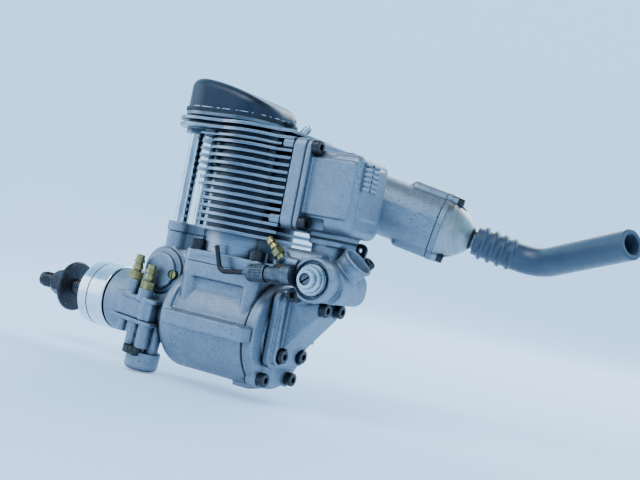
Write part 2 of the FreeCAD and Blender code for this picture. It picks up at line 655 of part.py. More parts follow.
def cylinder_head():
    base = rod_z(18.6, DECK + 0.35, HEAD_SCREW_Z)
    bosses = [rod_z(3.2, DECK + 0.35, HEAD_SCREW_Z, seat.x, seat.y) for seat in HEAD_SEATS]
    round_fins = [full_fin(DECK + 0.35, 74.6), full_fin(76.2, HEAD_SCREW_Z), full_fin(78.9, 80.1)]
    core = rounded_plate(20.5, 16.2, 12.0, 75.8, HEAD_TOP - 0.4)
    low_fin = rounded_plate(23.2, 20.6, 16.0, 76.2, HEAD_SCREW_Z)
    high_fin = rounded_plate(23.6, 20.2, 16.0, 78.9, 80.1)
    top = rounded_plate(COVER_A + 0.2, COVER_B + 0.3, 14.0, 81.3, HEAD_TOP)
    short_fin = rounded_plate(21.5, 18.2, 13.0, DECK + 0.35, 74.6).cut(box(20, 60, -30, 30, 70, 80))
    boss = stadium_z(4.9, VALVE_Y, 74.2, 80.0, PUSH_X)
    exhaust_pad = soft_box(-6.4, 14.4, -22.5, -12.0, 73.7, HEAD_TOP - 0.2, Y_AXIS, 2.0)
    body = base.multiFuse([core, low_fin, high_fin, top, short_fin, boss, exhaust_pad] + bosses + round_fins)
    dome = Part.makeSphere(19.0, V(0, 0, 60.2)).common(rod_z(13.4, 70, 80))
    cutters = [dome]
    for side in (-1, 1):
        y = side * VALVE_Y
        cutters.append(rod_z(3.0, 74, 100, PUSH_X, y))
        cutters.append(rod_z(1.54, 74, 100, VALVE_X, y))
        cutters.append(rod_z(5.3, 73, 76.8, VALVE_X, y))
        cutters.append(rod_z(4.4, 79.0, 100, VALVE_X, y))
    cutters.append(rounded_plate(20.2, 14.8, 12.0, 81.5, 90))
    cutters.append(rod_y(3.6, -30.0, -7.0, 4.0, 77.6))
    cutters.append(plug_line(2.04, -6.0, 2.0))
    cutters.append(plug_line(4.0, 0.1, 14.0))
    cutters += shank_holes(HEAD_SEATS, Z_AXIS, HEAD_SCREW_LENGTH)
    cutters += [rod_z(SCREW_HEAD_R + 0.4, HEAD_SCREW_Z, 90, seat.x, seat.y) for seat in HEAD_SEATS]
    cutters += shank_holes(HEADER_SEATS, -Y_AXIS, HEADER_SCREW_LENGTH)
    post_room = SCREW_POST_R + 0.15
    cutters += [rod_x(post_room, -30, -17.5, side * FLANGE_SCREW_Y, FLANGE_SCREW_HIGH) for side in (-1, 1)]
    cutters.append(box(-30, -21.0, -30, 30, 78, 81))
    return cut_all(body, cutters).removeSplitter()


def head_gasket():
    sheet = ring(FIN_R - 1.6, BORE_R + 0.1, V(0, 0, DECK + 0.02), V(0, 0, DECK + 0.33))
    return cut_all(sheet, shank_holes(HEAD_SEATS, Z_AXIS, HEAD_SCREW_LENGTH))


def cover_outline(half_a, half_b, drop, z0):
    """Rocker cover body: a rounded plan cut by an arched side profile that falls toward the rear."""
    plan = rounded_plate(half_a, half_b, min(14.0, half_b - 1.5), z0, 104)
    front = HEAD_X + half_a + 2
    rear = HEAD_X - half_a - 2
    high_rear = V(rear, -30, COVER_REAR_Z - drop)
    high_middle = V(HEAD_X - 2, -30, COVER_MIDDLE_Z - drop)
    high_front = V(front, -30, COVER_FRONT_Z - drop)
    low_front = V(front, -30, z0 - 1)
    low_rear = V(rear, -30, z0 - 1)
    edges = [Part.Arc(high_rear, high_middle, high_front).toShape()]
    for start, end in ((high_front, low_front), (low_front, low_rear), (low_rear, high_rear)):
        edges.append(Part.LineSegment(start, end).toShape())
    profile = Part.Face(Part.Wire(edges)).extrude(V(0, 60, 0))
    return plan.common(profile).Solids[0]


def rocker_cover():
    body = cover_outline(COVER_A, COVER_B, 0.0, COVER_BASE)
    rim = [edge for edge in body.Edges if edge.BoundBox.ZMin > COVER_BASE + 2]
    body = body.makeFillet(4.0, rim)
    inside = cover_outline(COVER_A - 1.5, COVER_B - 1.5, 1.4, COVER_BASE - 2)
    flange = rounded_plate(COVER_A + 0.9, COVER_B + 0.8, 14.6, COVER_BASE, COVER_BASE + 1.0)
    ears = []
    for side in (-1, 1):
        tip = HEAD_X + side * (COVER_A + 1.3)
        ears.append(rod_z(2.4, COVER_BASE, COVER_BASE + 1.2, tip, 0))
    return body.multiFuse([flange] + ears).cut(inside).removeSplitter()


def cover_gasket():
    sheet = rounded_plate(COVER_A + 0.6, COVER_B + 0.5, 14.2, HEAD_TOP, COVER_BASE)
    return sheet.cut(rounded_plate(19.9, 14.6, 12.0, HEAD_TOP - 1, COVER_BASE + 1))


PLUG_AXIS = V(-0.50, -0.25, 0.83)
PLUG_SEAT = V(-10.8, -4.8, 78.4)


def plug_line(radius, start, end):
    """Bar along the glow plug's line, measured from its seat."""
    out = V(PLUG_AXIS).normalize()
    return rod(radius, PLUG_SEAT + out * start, PLUG_SEAT + out * end)


def glow_plug():
    out = V(PLUG_AXIS).normalize()
    body = hex_bar(6.0, PLUG_SEAT + out * 0.3, PLUG_SEAT + out * 2.9)
    neck = rod(1.7, PLUG_SEAT + out * 2.6, PLUG_SEAT + out * 6.4)
    tip = Part.makeSphere(1.45, PLUG_SEAT + out * 6.8)
    thread = rod(2.0, PLUG_SEAT - out * 2.4, PLUG_SEAT + out * 0.5)
    return body.multiFuse([neck, tip, thread]).removeSplitter()


# ---------------------------------------------------------------- inlet side
def flange_outline(x0, x1, grow=0.0):
    plate = soft_box(x0, x1, -FLANGE_HALF - grow, FLANGE_HALF + grow, FLANGE_LOW, FLANGE_HIGH, X_AXIS, 3.4)
    return plate


def intake_flange():
    plate = flange_outline(FLANGE_FRONT, FLANGE_SPLIT)
    plate = plate.makeFillet(1.0, edges_at(plate, "X", FLANGE_FRONT))
    cutters = shank_holes(FLANGE_SEATS, -X_AXIS, FLANGE_SCREW_LENGTH)
    cutters.append(rod_x(5.0, -35, -20, 0, 64.0))
    return cut_all(plate, cutters)


def chamber_gasket():
    sheet = flange_outline(FLANGE_SPLIT - GASKET, FLANGE_SPLIT, -0.2)
    cutters = shank_holes(FLANGE_SEATS, -X_AXIS, FLANGE_SCREW_LENGTH)
    cutters.append(rod_x(5.0, -35, -20, 0, 64.0))
    return cut_all(sheet, cutters)


def air_chamber():
    """Hollow pressure box with a side pad, a screwed front flange and a foot over the carburettor."""
    half = CHAMBER_HALF
    shell = soft_box(CHAMBER_REAR, FLANGE_REAR, -half, half, CHAMBER_LOW, CHAMBER_HIGH, X_AXIS, 4.2)
    shell = shell.makeFillet(3.2, edges_at(shell, "X", CHAMBER_REAR))
    plate = flange_outline(FLANGE_REAR, FLANGE_SPLIT - GASKET)
    pad_left = soft_box(-50.0, -29.8, 11.0, CHAMBER_HALF + 0.9, 49.2, 71.2, Y_AXIS, 1.6)
    pad_left = pad_left.makeFillet(0.5, edges_at(pad_left, "Y", CHAMBER_HALF + 0.9))
    pad_right = soft_box(-50.0, -29.8, -CHAMBER_HALF - 0.9, -11.0, 49.2, 71.2, Y_AXIS, 1.6)
    rear_pad = soft_box(CHAMBER_REAR - 0.7, -48.0, -8.2, 8.2, 51.0, 71.0, X_AXIS, 2.0)
    rear_pad = rear_pad.makeFillet(0.4, edges_at(rear_pad, "X", CHAMBER_REAR - 0.7))
    foot = soft_box(-47.0, FLANGE_REAR - 0.4, -8.0, 8.0, 41.5, CHAMBER_LOW + 3, Z_AXIS, 2.5)
    body = shell.multiFuse([plate, pad_left, pad_right, rear_pad, foot])
    hollow = soft_box(CHAMBER_REAR + 2, FLANGE_REAR - 0.2, -10.4, 10.4, 45.6, 72.4, X_AXIS, 2.5)
    cutters = [hollow, rod_x(5.0, -34, -20, 0, 64.0), rod_z(5.0, 40, 48, NECK_X, 0)]
    cutters += shank_holes(FLANGE_SEATS, -X_AXIS, FLANGE_SCREW_LENGTH)
    cutters += [rod_x(SCREW_HEAD_R + 0.35, -40, FLANGE_REAR, seat.y, seat.z) for seat in FLANGE_SEATS]
    return cut_all(body, cutters).removeSplitter()


def neck_gasket():
    sheet = soft_box(-46.8, FLANGE_REAR - 0.6, -7.8, 7.8, 41.0, 41.5, Z_AXIS, 2.4)
    return sheet.cut(rod_z(5.0, 40, 48, NECK_X, 0))


EAR_SEAT = V(-36.8, 15.6, 18.4)
EAR_SCREW_LENGTH = 5.6
THROAT_AXIS = V(-0.655, 0, 0.755)
THROAT_MOUTH = V(-53.6, 4.0, 35.4)
ARM_Y = -9.6
SPRAY_STUB_X = -33.0
SPRAY_STUB_Z = 24.9
BARREL_X = -43.6
BARREL_Z = 27.0


def carburettor_body():
    """Cast body: neck to the chamber, cross bore for the throttle barrel, regulator ring, air funnel."""
    flange = soft_box(-46.5, FLANGE_REAR - 0.8, -7.6, 7.6, 38.8, 41.0, Z_AXIS, 2.4)
    neck = rod_z(NECK_R, 27, 40, NECK_X, 0)
    drum = rod_y(RING_R - 0.4, -7.4, 17.4, CARB_X, CARB_Z)
    rim = rod_y(RING_R, 16.2, RING_FACE, CARB_X, CARB_Z)
    rim = rim.makeFillet(0.6, edges_at(rim, "Y", RING_FACE))
    belly = soft_box(-53.6, -33.2, -7.4, 12.0, 17.4, 31.0, Y_AXIS, 5.5)
    mouth = THROAT_MOUTH
    root = mouth - THROAT_AXIS * 13.0
    funnel = taper(4.9, 6.3, root, mouth)
    lip = ring(6.6, 5.6, mouth - THROAT_AXIS * 1.0, mouth)
    inlet = rod_x(4.4, -44, -27.2, 12.5, 31.2)
    saddle = soft_box(-36, -26.0, 7.0, 19.0, 22.6, 32.0, X_AXIS, 2.2)
    screw_ear = rod_y(3.4, 9.0, EAR_SEAT.y, EAR_SEAT.x, EAR_SEAT.z)
    stem = soft_box(-42.8, -33.4, -6.6, 6.6, 17.05, 24.0, Z_AXIS, 2.0)
    nipple_boss = rod(2.7, V(-31.4, 13.0, 28.6), NIPPLE_ROOT)
    stop_boss = rod(2.4, STOP_SEAT - THROAT_AXIS * 7.0, STOP_SEAT)
    body = flange.multiFuse([neck, drum, rim, belly, funnel, lip, inlet, saddle, screw_ear, stem])
    body = body.multiFuse([nipple_boss, stop_boss])
    cutters = [rod_z(4.6, 30, 48, NECK_X, 0)]
    cutters.append(taper(3.4, 5.7, root, mouth + THROAT_AXIS * 0.5))
    cutters.append(rod_y(5.05, ARM_Y - 2, 9.0, BARREL_X, BARREL_Z))
    groove = V(CARB_X, RING_FACE - 1.6, CARB_Z)
    cutters.append(ring(RING_R - 1.3, 6.0, groove, groove + Y_AXIS * 2.6))
    cutters.append(rod_y(5.95, 12.0, RING_FACE + 1, CARB_X, CARB_Z))
    cutters += shank_holes([EAR_SEAT], Y_AXIS, EAR_SCREW_LENGTH)
    cutters.append(rod_y(SCREW_HEAD_R + 0.15, EAR_SEAT.y, 22, EAR_SEAT.x, EAR_SEAT.z))
    cutters.append(rod_y(2.24, 14.8, 22.0, SPRAY_STUB_X, SPRAY_STUB_Z))
    cutters.append(rod(1.9, NIPPLE_ROOT - NIPPLE_AXIS * 2.0, NIPPLE_ROOT + NIPPLE_AXIS))
    cutters.append(rod(3.1, NIPPLE_ROOT, NIPPLE_ROOT + NIPPLE_AXIS * 9))
    cutters.append(rod(1.25, STOP_SEAT - THROAT_AXIS * 4.3, STOP_SEAT + THROAT_AXIS * 2))
    cutters.append(rod(2.7, STOP_SEAT, STOP_SEAT + THROAT_AXIS * 9))
    cutters.append(tilt_needle(rod_x(4.5, -37.9, -25.0, NEEDLE_Y, NEEDLE_Z)))
    cutters.append(rod_x(SCREW_HEAD_R + 0.4, -50, STRUT_REAR, 5.8, 14.6))
    cutters.append(rod_x(SCREW_HEAD_R + 0.4, -50, STRUT_REAR, -5.8, 14.6))
    return cut_all(body, cutters).removeSplitter()


NIPPLE_AXIS = V(0.74, 0.05, 0.67).normalize()
NIPPLE_ROOT = V(-28.4, 19.0, 32.0)
STOP_SEAT = V(-51.1, -5.0, 32.3)


def barbed_nipple(root, axis, scale=1.0):
    """Hose nipple: hexagon foot, neck and two barbs."""
    out = V(axis).normalize()
    pieces = [hex_bar(4.6 * scale, root, root + out * 2.6 * scale)]
    pieces.append(rod(1.5 * scale, root + out * 2.4 * scale, root + out * 8.6 * scale))
    for step in (3.6, 5.9):
        start = root + out * step * scale
        pieces.append(taper(2.05 * scale, 1.5 * scale, start, start + out * 1.8 * scale))
    body = pieces[0].multiFuse(pieces[1:])
    bore = rod(0.75 * scale, root + out * 1.0, root + out * 12)
    stub = rod(1.85, root - out * 1.8, root + out * 0.3)
    return body.fuse(stub).cut(bore).removeSplitter()


def regulator_cap():
    """Turned bright cap in the regulator ring, stepped down to a collar around the adjusting screw."""
    steps = [(5.9, 12.5, 20.2), (5.6, 20.2, 21.2), (4.7, 21.2, 23.0), (3.3, 23.0, 25.4)]
    pieces = [rod_y(radius, y0, y1, CARB_X, CARB_Z) for radius, y0, y1 in steps]
    body = pieces[0].multiFuse(pieces[1:])
    return body.cut(rod_y(2.3, 16.0, 30, CARB_X, CARB_Z)).removeSplitter()


def regulator_screw():
    body = rod_y(2.24, 16.4, 24.6, CARB_X, CARB_Z)
    slot = box(CARB_X - 4, CARB_X + 4, 23.6, 26, CARB_Z - 0.35, CARB_Z + 0.35)
    slot.rotate(V(CARB_X, 24, CARB_Z), Y_AXIS, 40)
    return body.cut(slot)


def throttle_barrel():
    barrel = rod_y(5.0, -7.8, 8.8, BARREL_X, BARREL_Z)
    spindle = rod_y(2.0, ARM_Y - 1.6, -7.0, BARREL_X, BARREL_Z)
    middle = V(BARREL_X, 4.0, BARREL_Z)
    passage = rod(3.2, middle - THROAT_AXIS * 9, middle + THROAT_AXIS * 9)
    return barrel.fuse(spindle).cut(passage).removeSplitter()


ARM_TIP = V(-46.6, ARM_Y, 39.5)


def throttle_arm():
    """Flat lever on the barrel spindle with a linkage hole at its end."""
    half = 0.75
    pivot = V(BARREL_X, ARM_Y, BARREL_Z)
    along = (ARM_TIP - pivot).normalize()
    across = V(along.z, 0, -along.x)
    corners_2d = [pivot + across * 3.6, ARM_TIP + across * 2.7, ARM_TIP - across * 2.7, pivot - across * 3.6]
    plate_line = Part.makePolygon([point - V(0, half, 0) for point in corners_2d + [corners_2d[0]]])
    plate = Part.Face(plate_line).extrude(V(0, 2 * half, 0))
    hub = rod_y(3.8, ARM_Y - half, ARM_Y + half, BARREL_X, BARREL_Z)
    end = rod_y(2.75, ARM_Y - half, ARM_Y + half, ARM_TIP.x, ARM_TIP.z)
    holes = [rod_y(2.02, ARM_Y - 3, ARM_Y + 3, BARREL_X, BARREL_Z)]
    holes.append(rod_y(0.85, ARM_Y - 3, ARM_Y + 3, ARM_TIP.x, ARM_TIP.z))
    second = ARM_TIP - along * 4.2
    holes.append(rod_y(0.85, ARM_Y - 3, ARM_Y + 3, second.x, second.z))
    return plate.multiFuse([hub, end]).cut(holes).removeSplitter()


def throttle_stop_screw():
    """Idle stop screw beside the air funnel."""
    out = V(THROAT_AXIS)
    head = rod(2.5, STOP_SEAT + out * 1.4, STOP_SEAT + out * 4.8)
    head = head.makeChamfer(0.35, [head.Edges[0]])
    shank = rod(1.2, STOP_SEAT - out * 3.8, STOP_SEAT + out * 2.0)
    socket = hex_bar(2.2, STOP_SEAT + out * 3.2, STOP_SEAT + out * 7)
    return head.fuse(shank).cut(socket).removeSplitter()


def tilt_needle(shape):
    """Tips a needle-valve piece so that its front end sits lower."""
    tipped = shape.copy()
    tipped.rotate(V(-27.0, NEEDLE_Y, NEEDLE_Z), Y_AXIS, NEEDLE_TILT)
    return tipped


def needle_valve_body():
    """Hexagon spray-bar body and its round nose, screwed into the carburettor saddle."""
    hexagon = hex_bar(7.0, V(-34.0, NEEDLE_Y, NEEDLE_Z), V(-30.0, NEEDLE_Y, NEEDLE_Z))
    banjo = rod_x(4.0, -37.6, -33.8, NEEDLE_Y, NEEDLE_Z)
    barrel = rod_x(2.9, -30.2, -26.5, NEEDLE_Y, NEEDLE_Z)
    body = tilt_needle(banjo.multiFuse([hexagon, barrel]))
    body = body.fuse(rod_y(2.2, 15.0, NEEDLE_Y, SPRAY_STUB_X, SPRAY_STUB_Z))
    cutters = [tilt_needle(rod_x(1.35, -37, -20, NEEDLE_Y, NEEDLE_Z))]
    cutters.append(rod_y(RING_R + 0.05, 10, RING_FACE + 0.1, CARB_X, CARB_Z))
    return cut_all(body, cutters).removeSplitter()


def needle_valve():
    """Knurled thimble with its needle and the bent wire extension."""
    thimble = rod_x(3.4, -26.2, -17.8, NEEDLE_Y, NEEDLE_Z)
    thimble = thimble.makeFillet(1.6, edges_at(thimble, "X", -17.8))
    knurls = []
    count = 20
    for step in range(count):
        angle = 2 * math.pi * step / count
        y = NEEDLE_Y + 3.45 * math.cos(angle)
        knurls.append(rod_x(0.28, -25.6, -20.4, y, NEEDLE_Z + 3.45 * math.sin(angle)))
    needle = rod_x(1.3, -36.0, -26.0, NEEDLE_Y, NEEDLE_Z)
    bend = 3.2
    corner = V(-4.8, NEEDLE_Y, NEEDLE_Z)
    start = V(-19.0, NEEDLE_Y, NEEDLE_Z)
    tip = V(-2.4, NEEDLE_Y, NEEDLE_Z + 9.8)
    first = (start - corner).normalize()
    second = (tip - corner).normalize()
    half_turn = math.acos(first.dot(second)) / 2
    trim = bend / math.tan(half_turn)
    middle = corner + (first + second).normalize() * (bend / math.sin(half_turn) - bend)
    path = Part.Wire([
        Part.LineSegment(start, corner + first * trim).toShape(),
        Part.Arc(corner + first * trim, middle, corner + second * trim).toShape(),
        Part.LineSegment(corner + second * trim, tip).toShape(),
    ])
    section = Part.Wire(Part.makeCircle(0.95, start, -first))
    wire = path.makePipeShell([section], True, False)
    return tilt_needle(thimble.cut(knurls).multiFuse([needle, wire]).removeSplitter())


def intake_housing():
    """Casting behind the rear cover: two flanges and a triangular duct that carries the carburettor."""
    plate = soft_box(HOUSING_MID, REAR_COVER_REAR - 0.8, -12.6, 12.6, -11.5, 18.6, X_AXIS, 4.0)
    outline = [V(HOUSING_MID - 0.5, 0, 17.0), V(STRUT_REAR, 0, 17.0), V(STRUT_REAR, 0, 11.2)]
    outline += [V(HOUSING_REAR, 0, -4.0), V(HOUSING_MID - 0.5, 0, -9.6), V(HOUSING_MID - 0.5, 0, 17.0)]
    web = Part.Face(Part.makePolygon([point - V(0, 8.2, 0) for point in outline])).extrude(V(0, 16.4, 0))
    web = web.makeFillet(1.1, edges_along(web, Y_AXIS)[:1])
    second = soft_box(FLANGE_BACK, HOUSING_MID - 0.5, -11.4, 11.4, -10.2, 17.4, X_AXIS, 3.4)
    web = web.fuse(second)
    bend = rod(3.4, V(NECK_X, 0, 14.0), V(-31.5, 0, 8.6))
    cutters = [rod_x(4.0, -33, -24, 0, 8.6), rod_z(4.0, 13.0, 17.4, NECK_X, 0), bend]
    cutters += shank_holes(LOW_HOUSING_SEATS, -X_AXIS, LOW_HOUSING_LENGTH)
    cutters += shank_holes(TOP_HOUSING_SEATS, -X_AXIS, 6.0)
    cutters += [rod_x(SCREW_HEAD_R + 0.4, -36, seat.x, seat.y, seat.z) for seat in LOW_HOUSING_SEATS]
    clear_end = REAR_COVER_REAR - 0.4
    head_clear = [rod_x(SCREW_HEAD_R + 0.4, -29, clear_end, seat.y, seat.z) for seat in REAR_SEATS]
    duct = cut_all(web, cutters).removeSplitter()
    return Part.makeCompound([cut_all(plate, cutters + head_clear).removeSplitter(), duct])


def housing_gasket(x0, x1, half, low, high, corner):
    sheet = soft_box(x0, x1, -half, half, low, high, X_AXIS, corner)
    cutters = [rod_x(4.0, -42, -24, 0, 8.6)] + shank_holes(LOW_HOUSING_SEATS, -X_AXIS, LOW_HOUSING_LENGTH)
    cutters += [rod_x(SCREW_HEAD_R + 0.4, -29, -20, seat.y, seat.z) for seat in REAR_SEATS]
    return cut_all(sheet, cutters)


def rotary_valve():
    """Inlet disc with a timed window, turned by the crankshaft behind the crank web."""
    disc = rod_x(14.0, CASE_REAR + 0.4, CASE_REAR + 2.2)
    shaft = rod_x(3.0, REAR_COVER_REAR - 0.2, CASE_REAR + 1.0)
    window = rod_x(4.0, -30, -10, 0, 8.6)
    return disc.cut(window).fuse(shaft)


# ---------------------------------------------------------------- fuel pump
PUMP_CENTRE = V(34.2, 17.0, -2.2)
PUMP_PITCH = -4.0


def pump_place(shape):
    """Move a pump piece from the pump's own frame to its place on the nose."""
    moved = shape.copy()
    moved.rotate(V(0, 0, 0), Y_AXIS, PUMP_PITCH)
    moved.translate(PUMP_CENTRE)
    return moved


def pump_body():
    upper = soft_box(-9.5, 12.2, -3.2, 3.6, 5.2, 6.8, Z_AXIS, 1.4)
    core = soft_box(-7.8, 9.6, -3.2, 3.0, -2.4, 5.4, Z_AXIS, 1.2)
    towers = [rod_z(3.0, 5.0, 12.8, 5.8, 0.4), rod_z(3.1, 4.8, 10.2, -1.6, 0.8)]
    rib = rod_z(2.6, -2.4, 5.8, -4.0, 1.2)
    body = upper.multiFuse([core, rib] + towers)
    holes = [rod_z(1.9, 9.0, 15, 5.8, 0.4), rod_z(1.9, 7.0, 15, -1.6, 0.8)]
    return pump_place(cut_all(body, holes)).cut(nose_room()).removeSplitter()


def nose_room():
    """Space taken by the nose and its shoulder, with a little clearance."""
    shoulder = taper(17.6, NOSE_R + 0.1, V(CASE_FRONT - 4, 0, 0), V(34.1, 0, 0))
    return [shoulder, rod_x(NOSE_R + 0.1, 10, 60)]


def pump_base():
    lower = soft_box(-9.5, 12.1, -3.2, 4.0, -4.1, -2.5, Z_AXIS, 1.5)
    boss = rod_z(1.9, -9.1, -4.0, 5.8, 1.6)
    columns = [rod_z(2.3, -13.4, -4.0, -0.4, 1.4), rod_z(2.8, -13.4, -4.0, -5.8, 1.0)]
    pot = rod_z(6.9, -22.8, -15.2, -3.9, -4.6)
    pot = pot.makeFillet(1.8, edges_at(pot, "Z", -22.8))
    neck = rod_z(3.0, -15.8, -3.0, -6.6, -5.2)
    body = lower.multiFuse([boss, pot, neck] + columns)
    body = body.cut(rod_z(4.1, -16.6, -13.45, -2.2, 1.2))
    return pump_place(body).cut(nose_room()).removeSplitter()


def pump_cap():
    cap = rod_z(3.9, -16.4, -13.45, -2.2, 1.2)
    cap = cap.makeFillet(0.4, edges_at(cap, "Z", -16.4))
    notches = []
    for step in range(14):
        angle = 2 * math.pi * step / 14
        notches.append(rod_z(0.3, -20, -13, -2.2 + 3.95 * math.cos(angle), 1.2 + 3.95 * math.sin(angle)))
    return pump_place(cut_all(cap, notches))


def pump_nipples():
    first = barbed_nipple(V(5.8, 0.4, 12.85), Z_AXIS, 1.15)
    second = barbed_nipple(V(-1.6, 0.8, 10.25), Z_AXIS, 1.15)
    return Part.makeCompound([pump_place(first), pump_place(second)])


# ---------------------------------------------------------------- exhaust side
YAW = math.radians(MUFFLER_YAW)
DROP = math.radians(MUFFLER_DROP)
MUFFLER_AXIS = V(-math.cos(YAW) * math.cos(DROP), -math.sin(YAW) * math.cos(DROP), -math.sin(DROP))
MUFFLER_FRONT = MUFFLER_JOINT - MUFFLER_AXIS * MUFFLER_START
HEADER_SEATS = [V(4.0 + side * 8.0, -25.2, 79.4) for side in (-1, 1)]
HEADER_SCREW_LENGTH = 7.0


def along_muffler(distance):
    return MUFFLER_JOINT + MUFFLER_AXIS * distance


def bent_tube(points, bend_r, outer, inner):
    """Tube along straight runs joined by tangent arcs, hollow when inner is above zero."""
    edges = []
    last = points[0]
    for index in range(1, len(points) - 1):
        corner = points[index]
        back = (points[index - 1] - corner).normalize()
        ahead = (points[index + 1] - corner).normalize()
        half_turn = math.acos(back.dot(ahead)) / 2
        trim = bend_r / math.tan(half_turn)
        middle = corner + (back + ahead).normalize() * (bend_r / math.sin(half_turn) - bend_r)
        edges.append(Part.LineSegment(last, corner + back * trim).toShape())
        edges.append(Part.Arc(corner + back * trim, middle, corner + ahead * trim).toShape())
        last = corner + ahead * trim
    edges.append(Part.LineSegment(last, points[-1]).toShape())
    path = Part.Wire(edges)
    start_axis = points[1] - points[0]
    solid = path.makePipeShell([Part.Wire(Part.makeCircle(outer, points[0], start_axis))], True, False)
    if inner > 0:
        bore = path.makePipeShell([Part.Wire(Part.makeCircle(inner, points[0], start_axis))], True, False)
        solid = solid.cut(bore)
    return solid


def exhaust_header():
    """Flanged elbow from the head's right side back to the muffler."""
    flange = soft_box(-6.4, 14.4, -25.2, -23.0, 73.7, 83.0, Y_AXIS, 2.0)
    end = MUFFLER_FRONT + MUFFLER_AXIS * 3.0
    points = [V(4.0, -24.0, 77.6), V(4.0, -38.5, 77.6), MUFFLER_FRONT - MUFFLER_AXIS * 13.0, end]
    pipe = bent_tube(points, 7.5, 5.2, 3.8)
    cutters = [rod_y(3.8, -30, -20, 4.0, 77.6)] + shank_holes(HEADER_SEATS, -Y_AXIS, HEADER_SCREW_LENGTH)
    return cut_all(flange.fuse(pipe), cutters).removeSplitter()


def header_gasket():
    sheet = soft_box(-6.2, 14.2, -23.0, -22.5, 74.0, 82.8, Y_AXIS, 2.0)
    cutters = [rod_y(3.8, -30, -20, 4.0, 77.6)] + shank_holes(HEADER_SEATS, -Y_AXIS, HEADER_SCREW_LENGTH)
    return cut_all(sheet, cutters)


def header_screws():
    return cap_screws(HEADER_SEATS, -Y_AXIS, HEADER_SCREW_LENGTH, head_r=2.3, head_h=2.4, shank_r=1.2)


MUFFLER_SIDE = MUFFLER_AXIS.cross(Z_AXIS).normalize()
MUFFLER_UP = MUFFLER_SIDE.cross(MUFFLER_AXIS).normalize()
BOSS_ANGLES = (14, 168, 270)
SEAM_ANGLE = 82


def muffler_offset(angle, radius):
    turn = math.radians(angle)
    return MUFFLER_UP * (radius * math.cos(turn)) + MUFFLER_SIDE * (radius * math.sin(turn))


def muffler_body():
    can = rod(MUFFLER_R, MUFFLER_FRONT, along_muffler(0))
    front_edges = [edge for edge in can.Edges if (edge.CenterOfMass - MUFFLER_FRONT).Length < 1.0]
    can = can.makeFillet(4.0, front_edges)
    bosses = []
    for angle in BOSS_ANGLES:
        place = muffler_offset(angle, MUFFLER_R - 0.4)
        bosses.append(rod(2.5, along_muffler(-13.0) + place, along_muffler(0) + place))
        bosses.append(Part.makeSphere(2.5, along_muffler(-13.0) + place))
    seam = muffler_offset(SEAM_ANGLE, MUFFLER_R - 0.3)
    bosses.append(rod(0.7, MUFFLER_FRONT + MUFFLER_AXIS * 5 + seam, along_muffler(0) + seam))
    body = can.multiFuse(bosses)
    cutters = [rod(MUFFLER_R - 1.6, MUFFLER_FRONT + MUFFLER_AXIS * 3.0, along_muffler(1))]
    cutters.append(rod(5.24, MUFFLER_FRONT - MUFFLER_AXIS * 2, MUFFLER_FRONT + MUFFLER_AXIS * 4))
    cutters += shank_holes(muffler_screw_seats(), MUFFLER_AXIS, 9.0)
    return cut_all(body, cutters).removeSplitter()


def muffler_screw_seats():
    return [along_muffler(4.6) + muffler_offset(angle, MUFFLER_R - 0.4) for angle in BOSS_ANGLES]


def muffler_ring():
    """Joint ring between the muffler can and its tail cone."""
    body = ring(MUFFLER_R + 0.25, MUFFLER_R - 1.6, along_muffler(0.05), along_muffler(2.2))
    ears = [rod(2.6, along_muffler(0.05) + muffler_offset(angle, MUFFLER_R - 0.4),
                along_muffler(2.2) + muffler_offset(angle, MUFFLER_R - 0.4)) for angle in BOSS_ANGLES]
    core = rod(MUFFLER_R - 1.6, along_muffler(-1), along_muffler(4))
    return body.multiFuse(ears).cut([core] + shank_holes(muffler_screw_seats(), MUFFLER_AXIS, 9.0))


def muffler_cone():
    """Tail cone with a swelling profile, three screw ears and a spigot for the hose."""
    stations = [(2.25, MUFFLER_R), (4.4, 12.1), (7.0, 11.2), (9.6, 9.8)]
    stations += [(12.2, 7.9), (14.2, 5.9), (15.4, 4.2)]
    pieces = []
    for (start, r0), (end, r1) in zip(stations, stations[1:]):
        pieces.append(taper(r0, r1, along_muffler(start), along_muffler(end)))
    pieces.append(rod(3.9, along_muffler(15.0), along_muffler(28.0)))
    for angle in BOSS_ANGLES:
        place = muffler_offset(angle, MUFFLER_R - 0.4)
        pieces.append(rod(2.5, along_muffler(2.25) + place, along_muffler(4.6) + place))
    body = pieces[0].multiFuse(pieces[1:])
    hollow = [taper(10.2, 3.0, along_muffler(2.2), along_muffler(13.6))]
    hollow.append(rod(2.9, along_muffler(12.6), along_muffler(29)))
    head_room = [rod(2.45, seat, seat + MUFFLER_AXIS * 6) for seat in muffler_screw_seats()]
    cutters = hollow + head_room + shank_holes(muffler_screw_seats(), MUFFLER_AXIS, 9.0)
    return cut_all(body, cutters).removeSplitter()


def exhaust_deflector():
    """Moulded silicone elbow with four ribs at its clamped end."""
    end_axis = V(HOSE_END_AXIS).normalize()
    start = along_muffler(HOSE_START)
    corner = along_muffler(HOSE_BEND)
    end = corner + end_axis * HOSE_END_LENGTH
    body = bent_tube([start, corner, end], HOSE_BEND_R, HOSE_R, HOSE_BORE_R)
    ribs = []
    for step in range(4):
        place = along_muffler(HOSE_START + 3.6 + step * 4.0)
        radius = HOSE_R + 1.1 - 0.1 * step
        rib = ring(radius, HOSE_BORE_R, place - MUFFLER_AXIS * 0.75, place + MUFFLER_AXIS * 0.75)
        ribs.append(rib)
    return body.multiFuse(ribs).removeSplitter()


# ---------------------------------------------------------------- export
def export(name, shape):
    moved = shape.copy()
    moved.translate(-MOUNT_ORIGIN)
    moved.exportStep("parts/" + name + ".step")


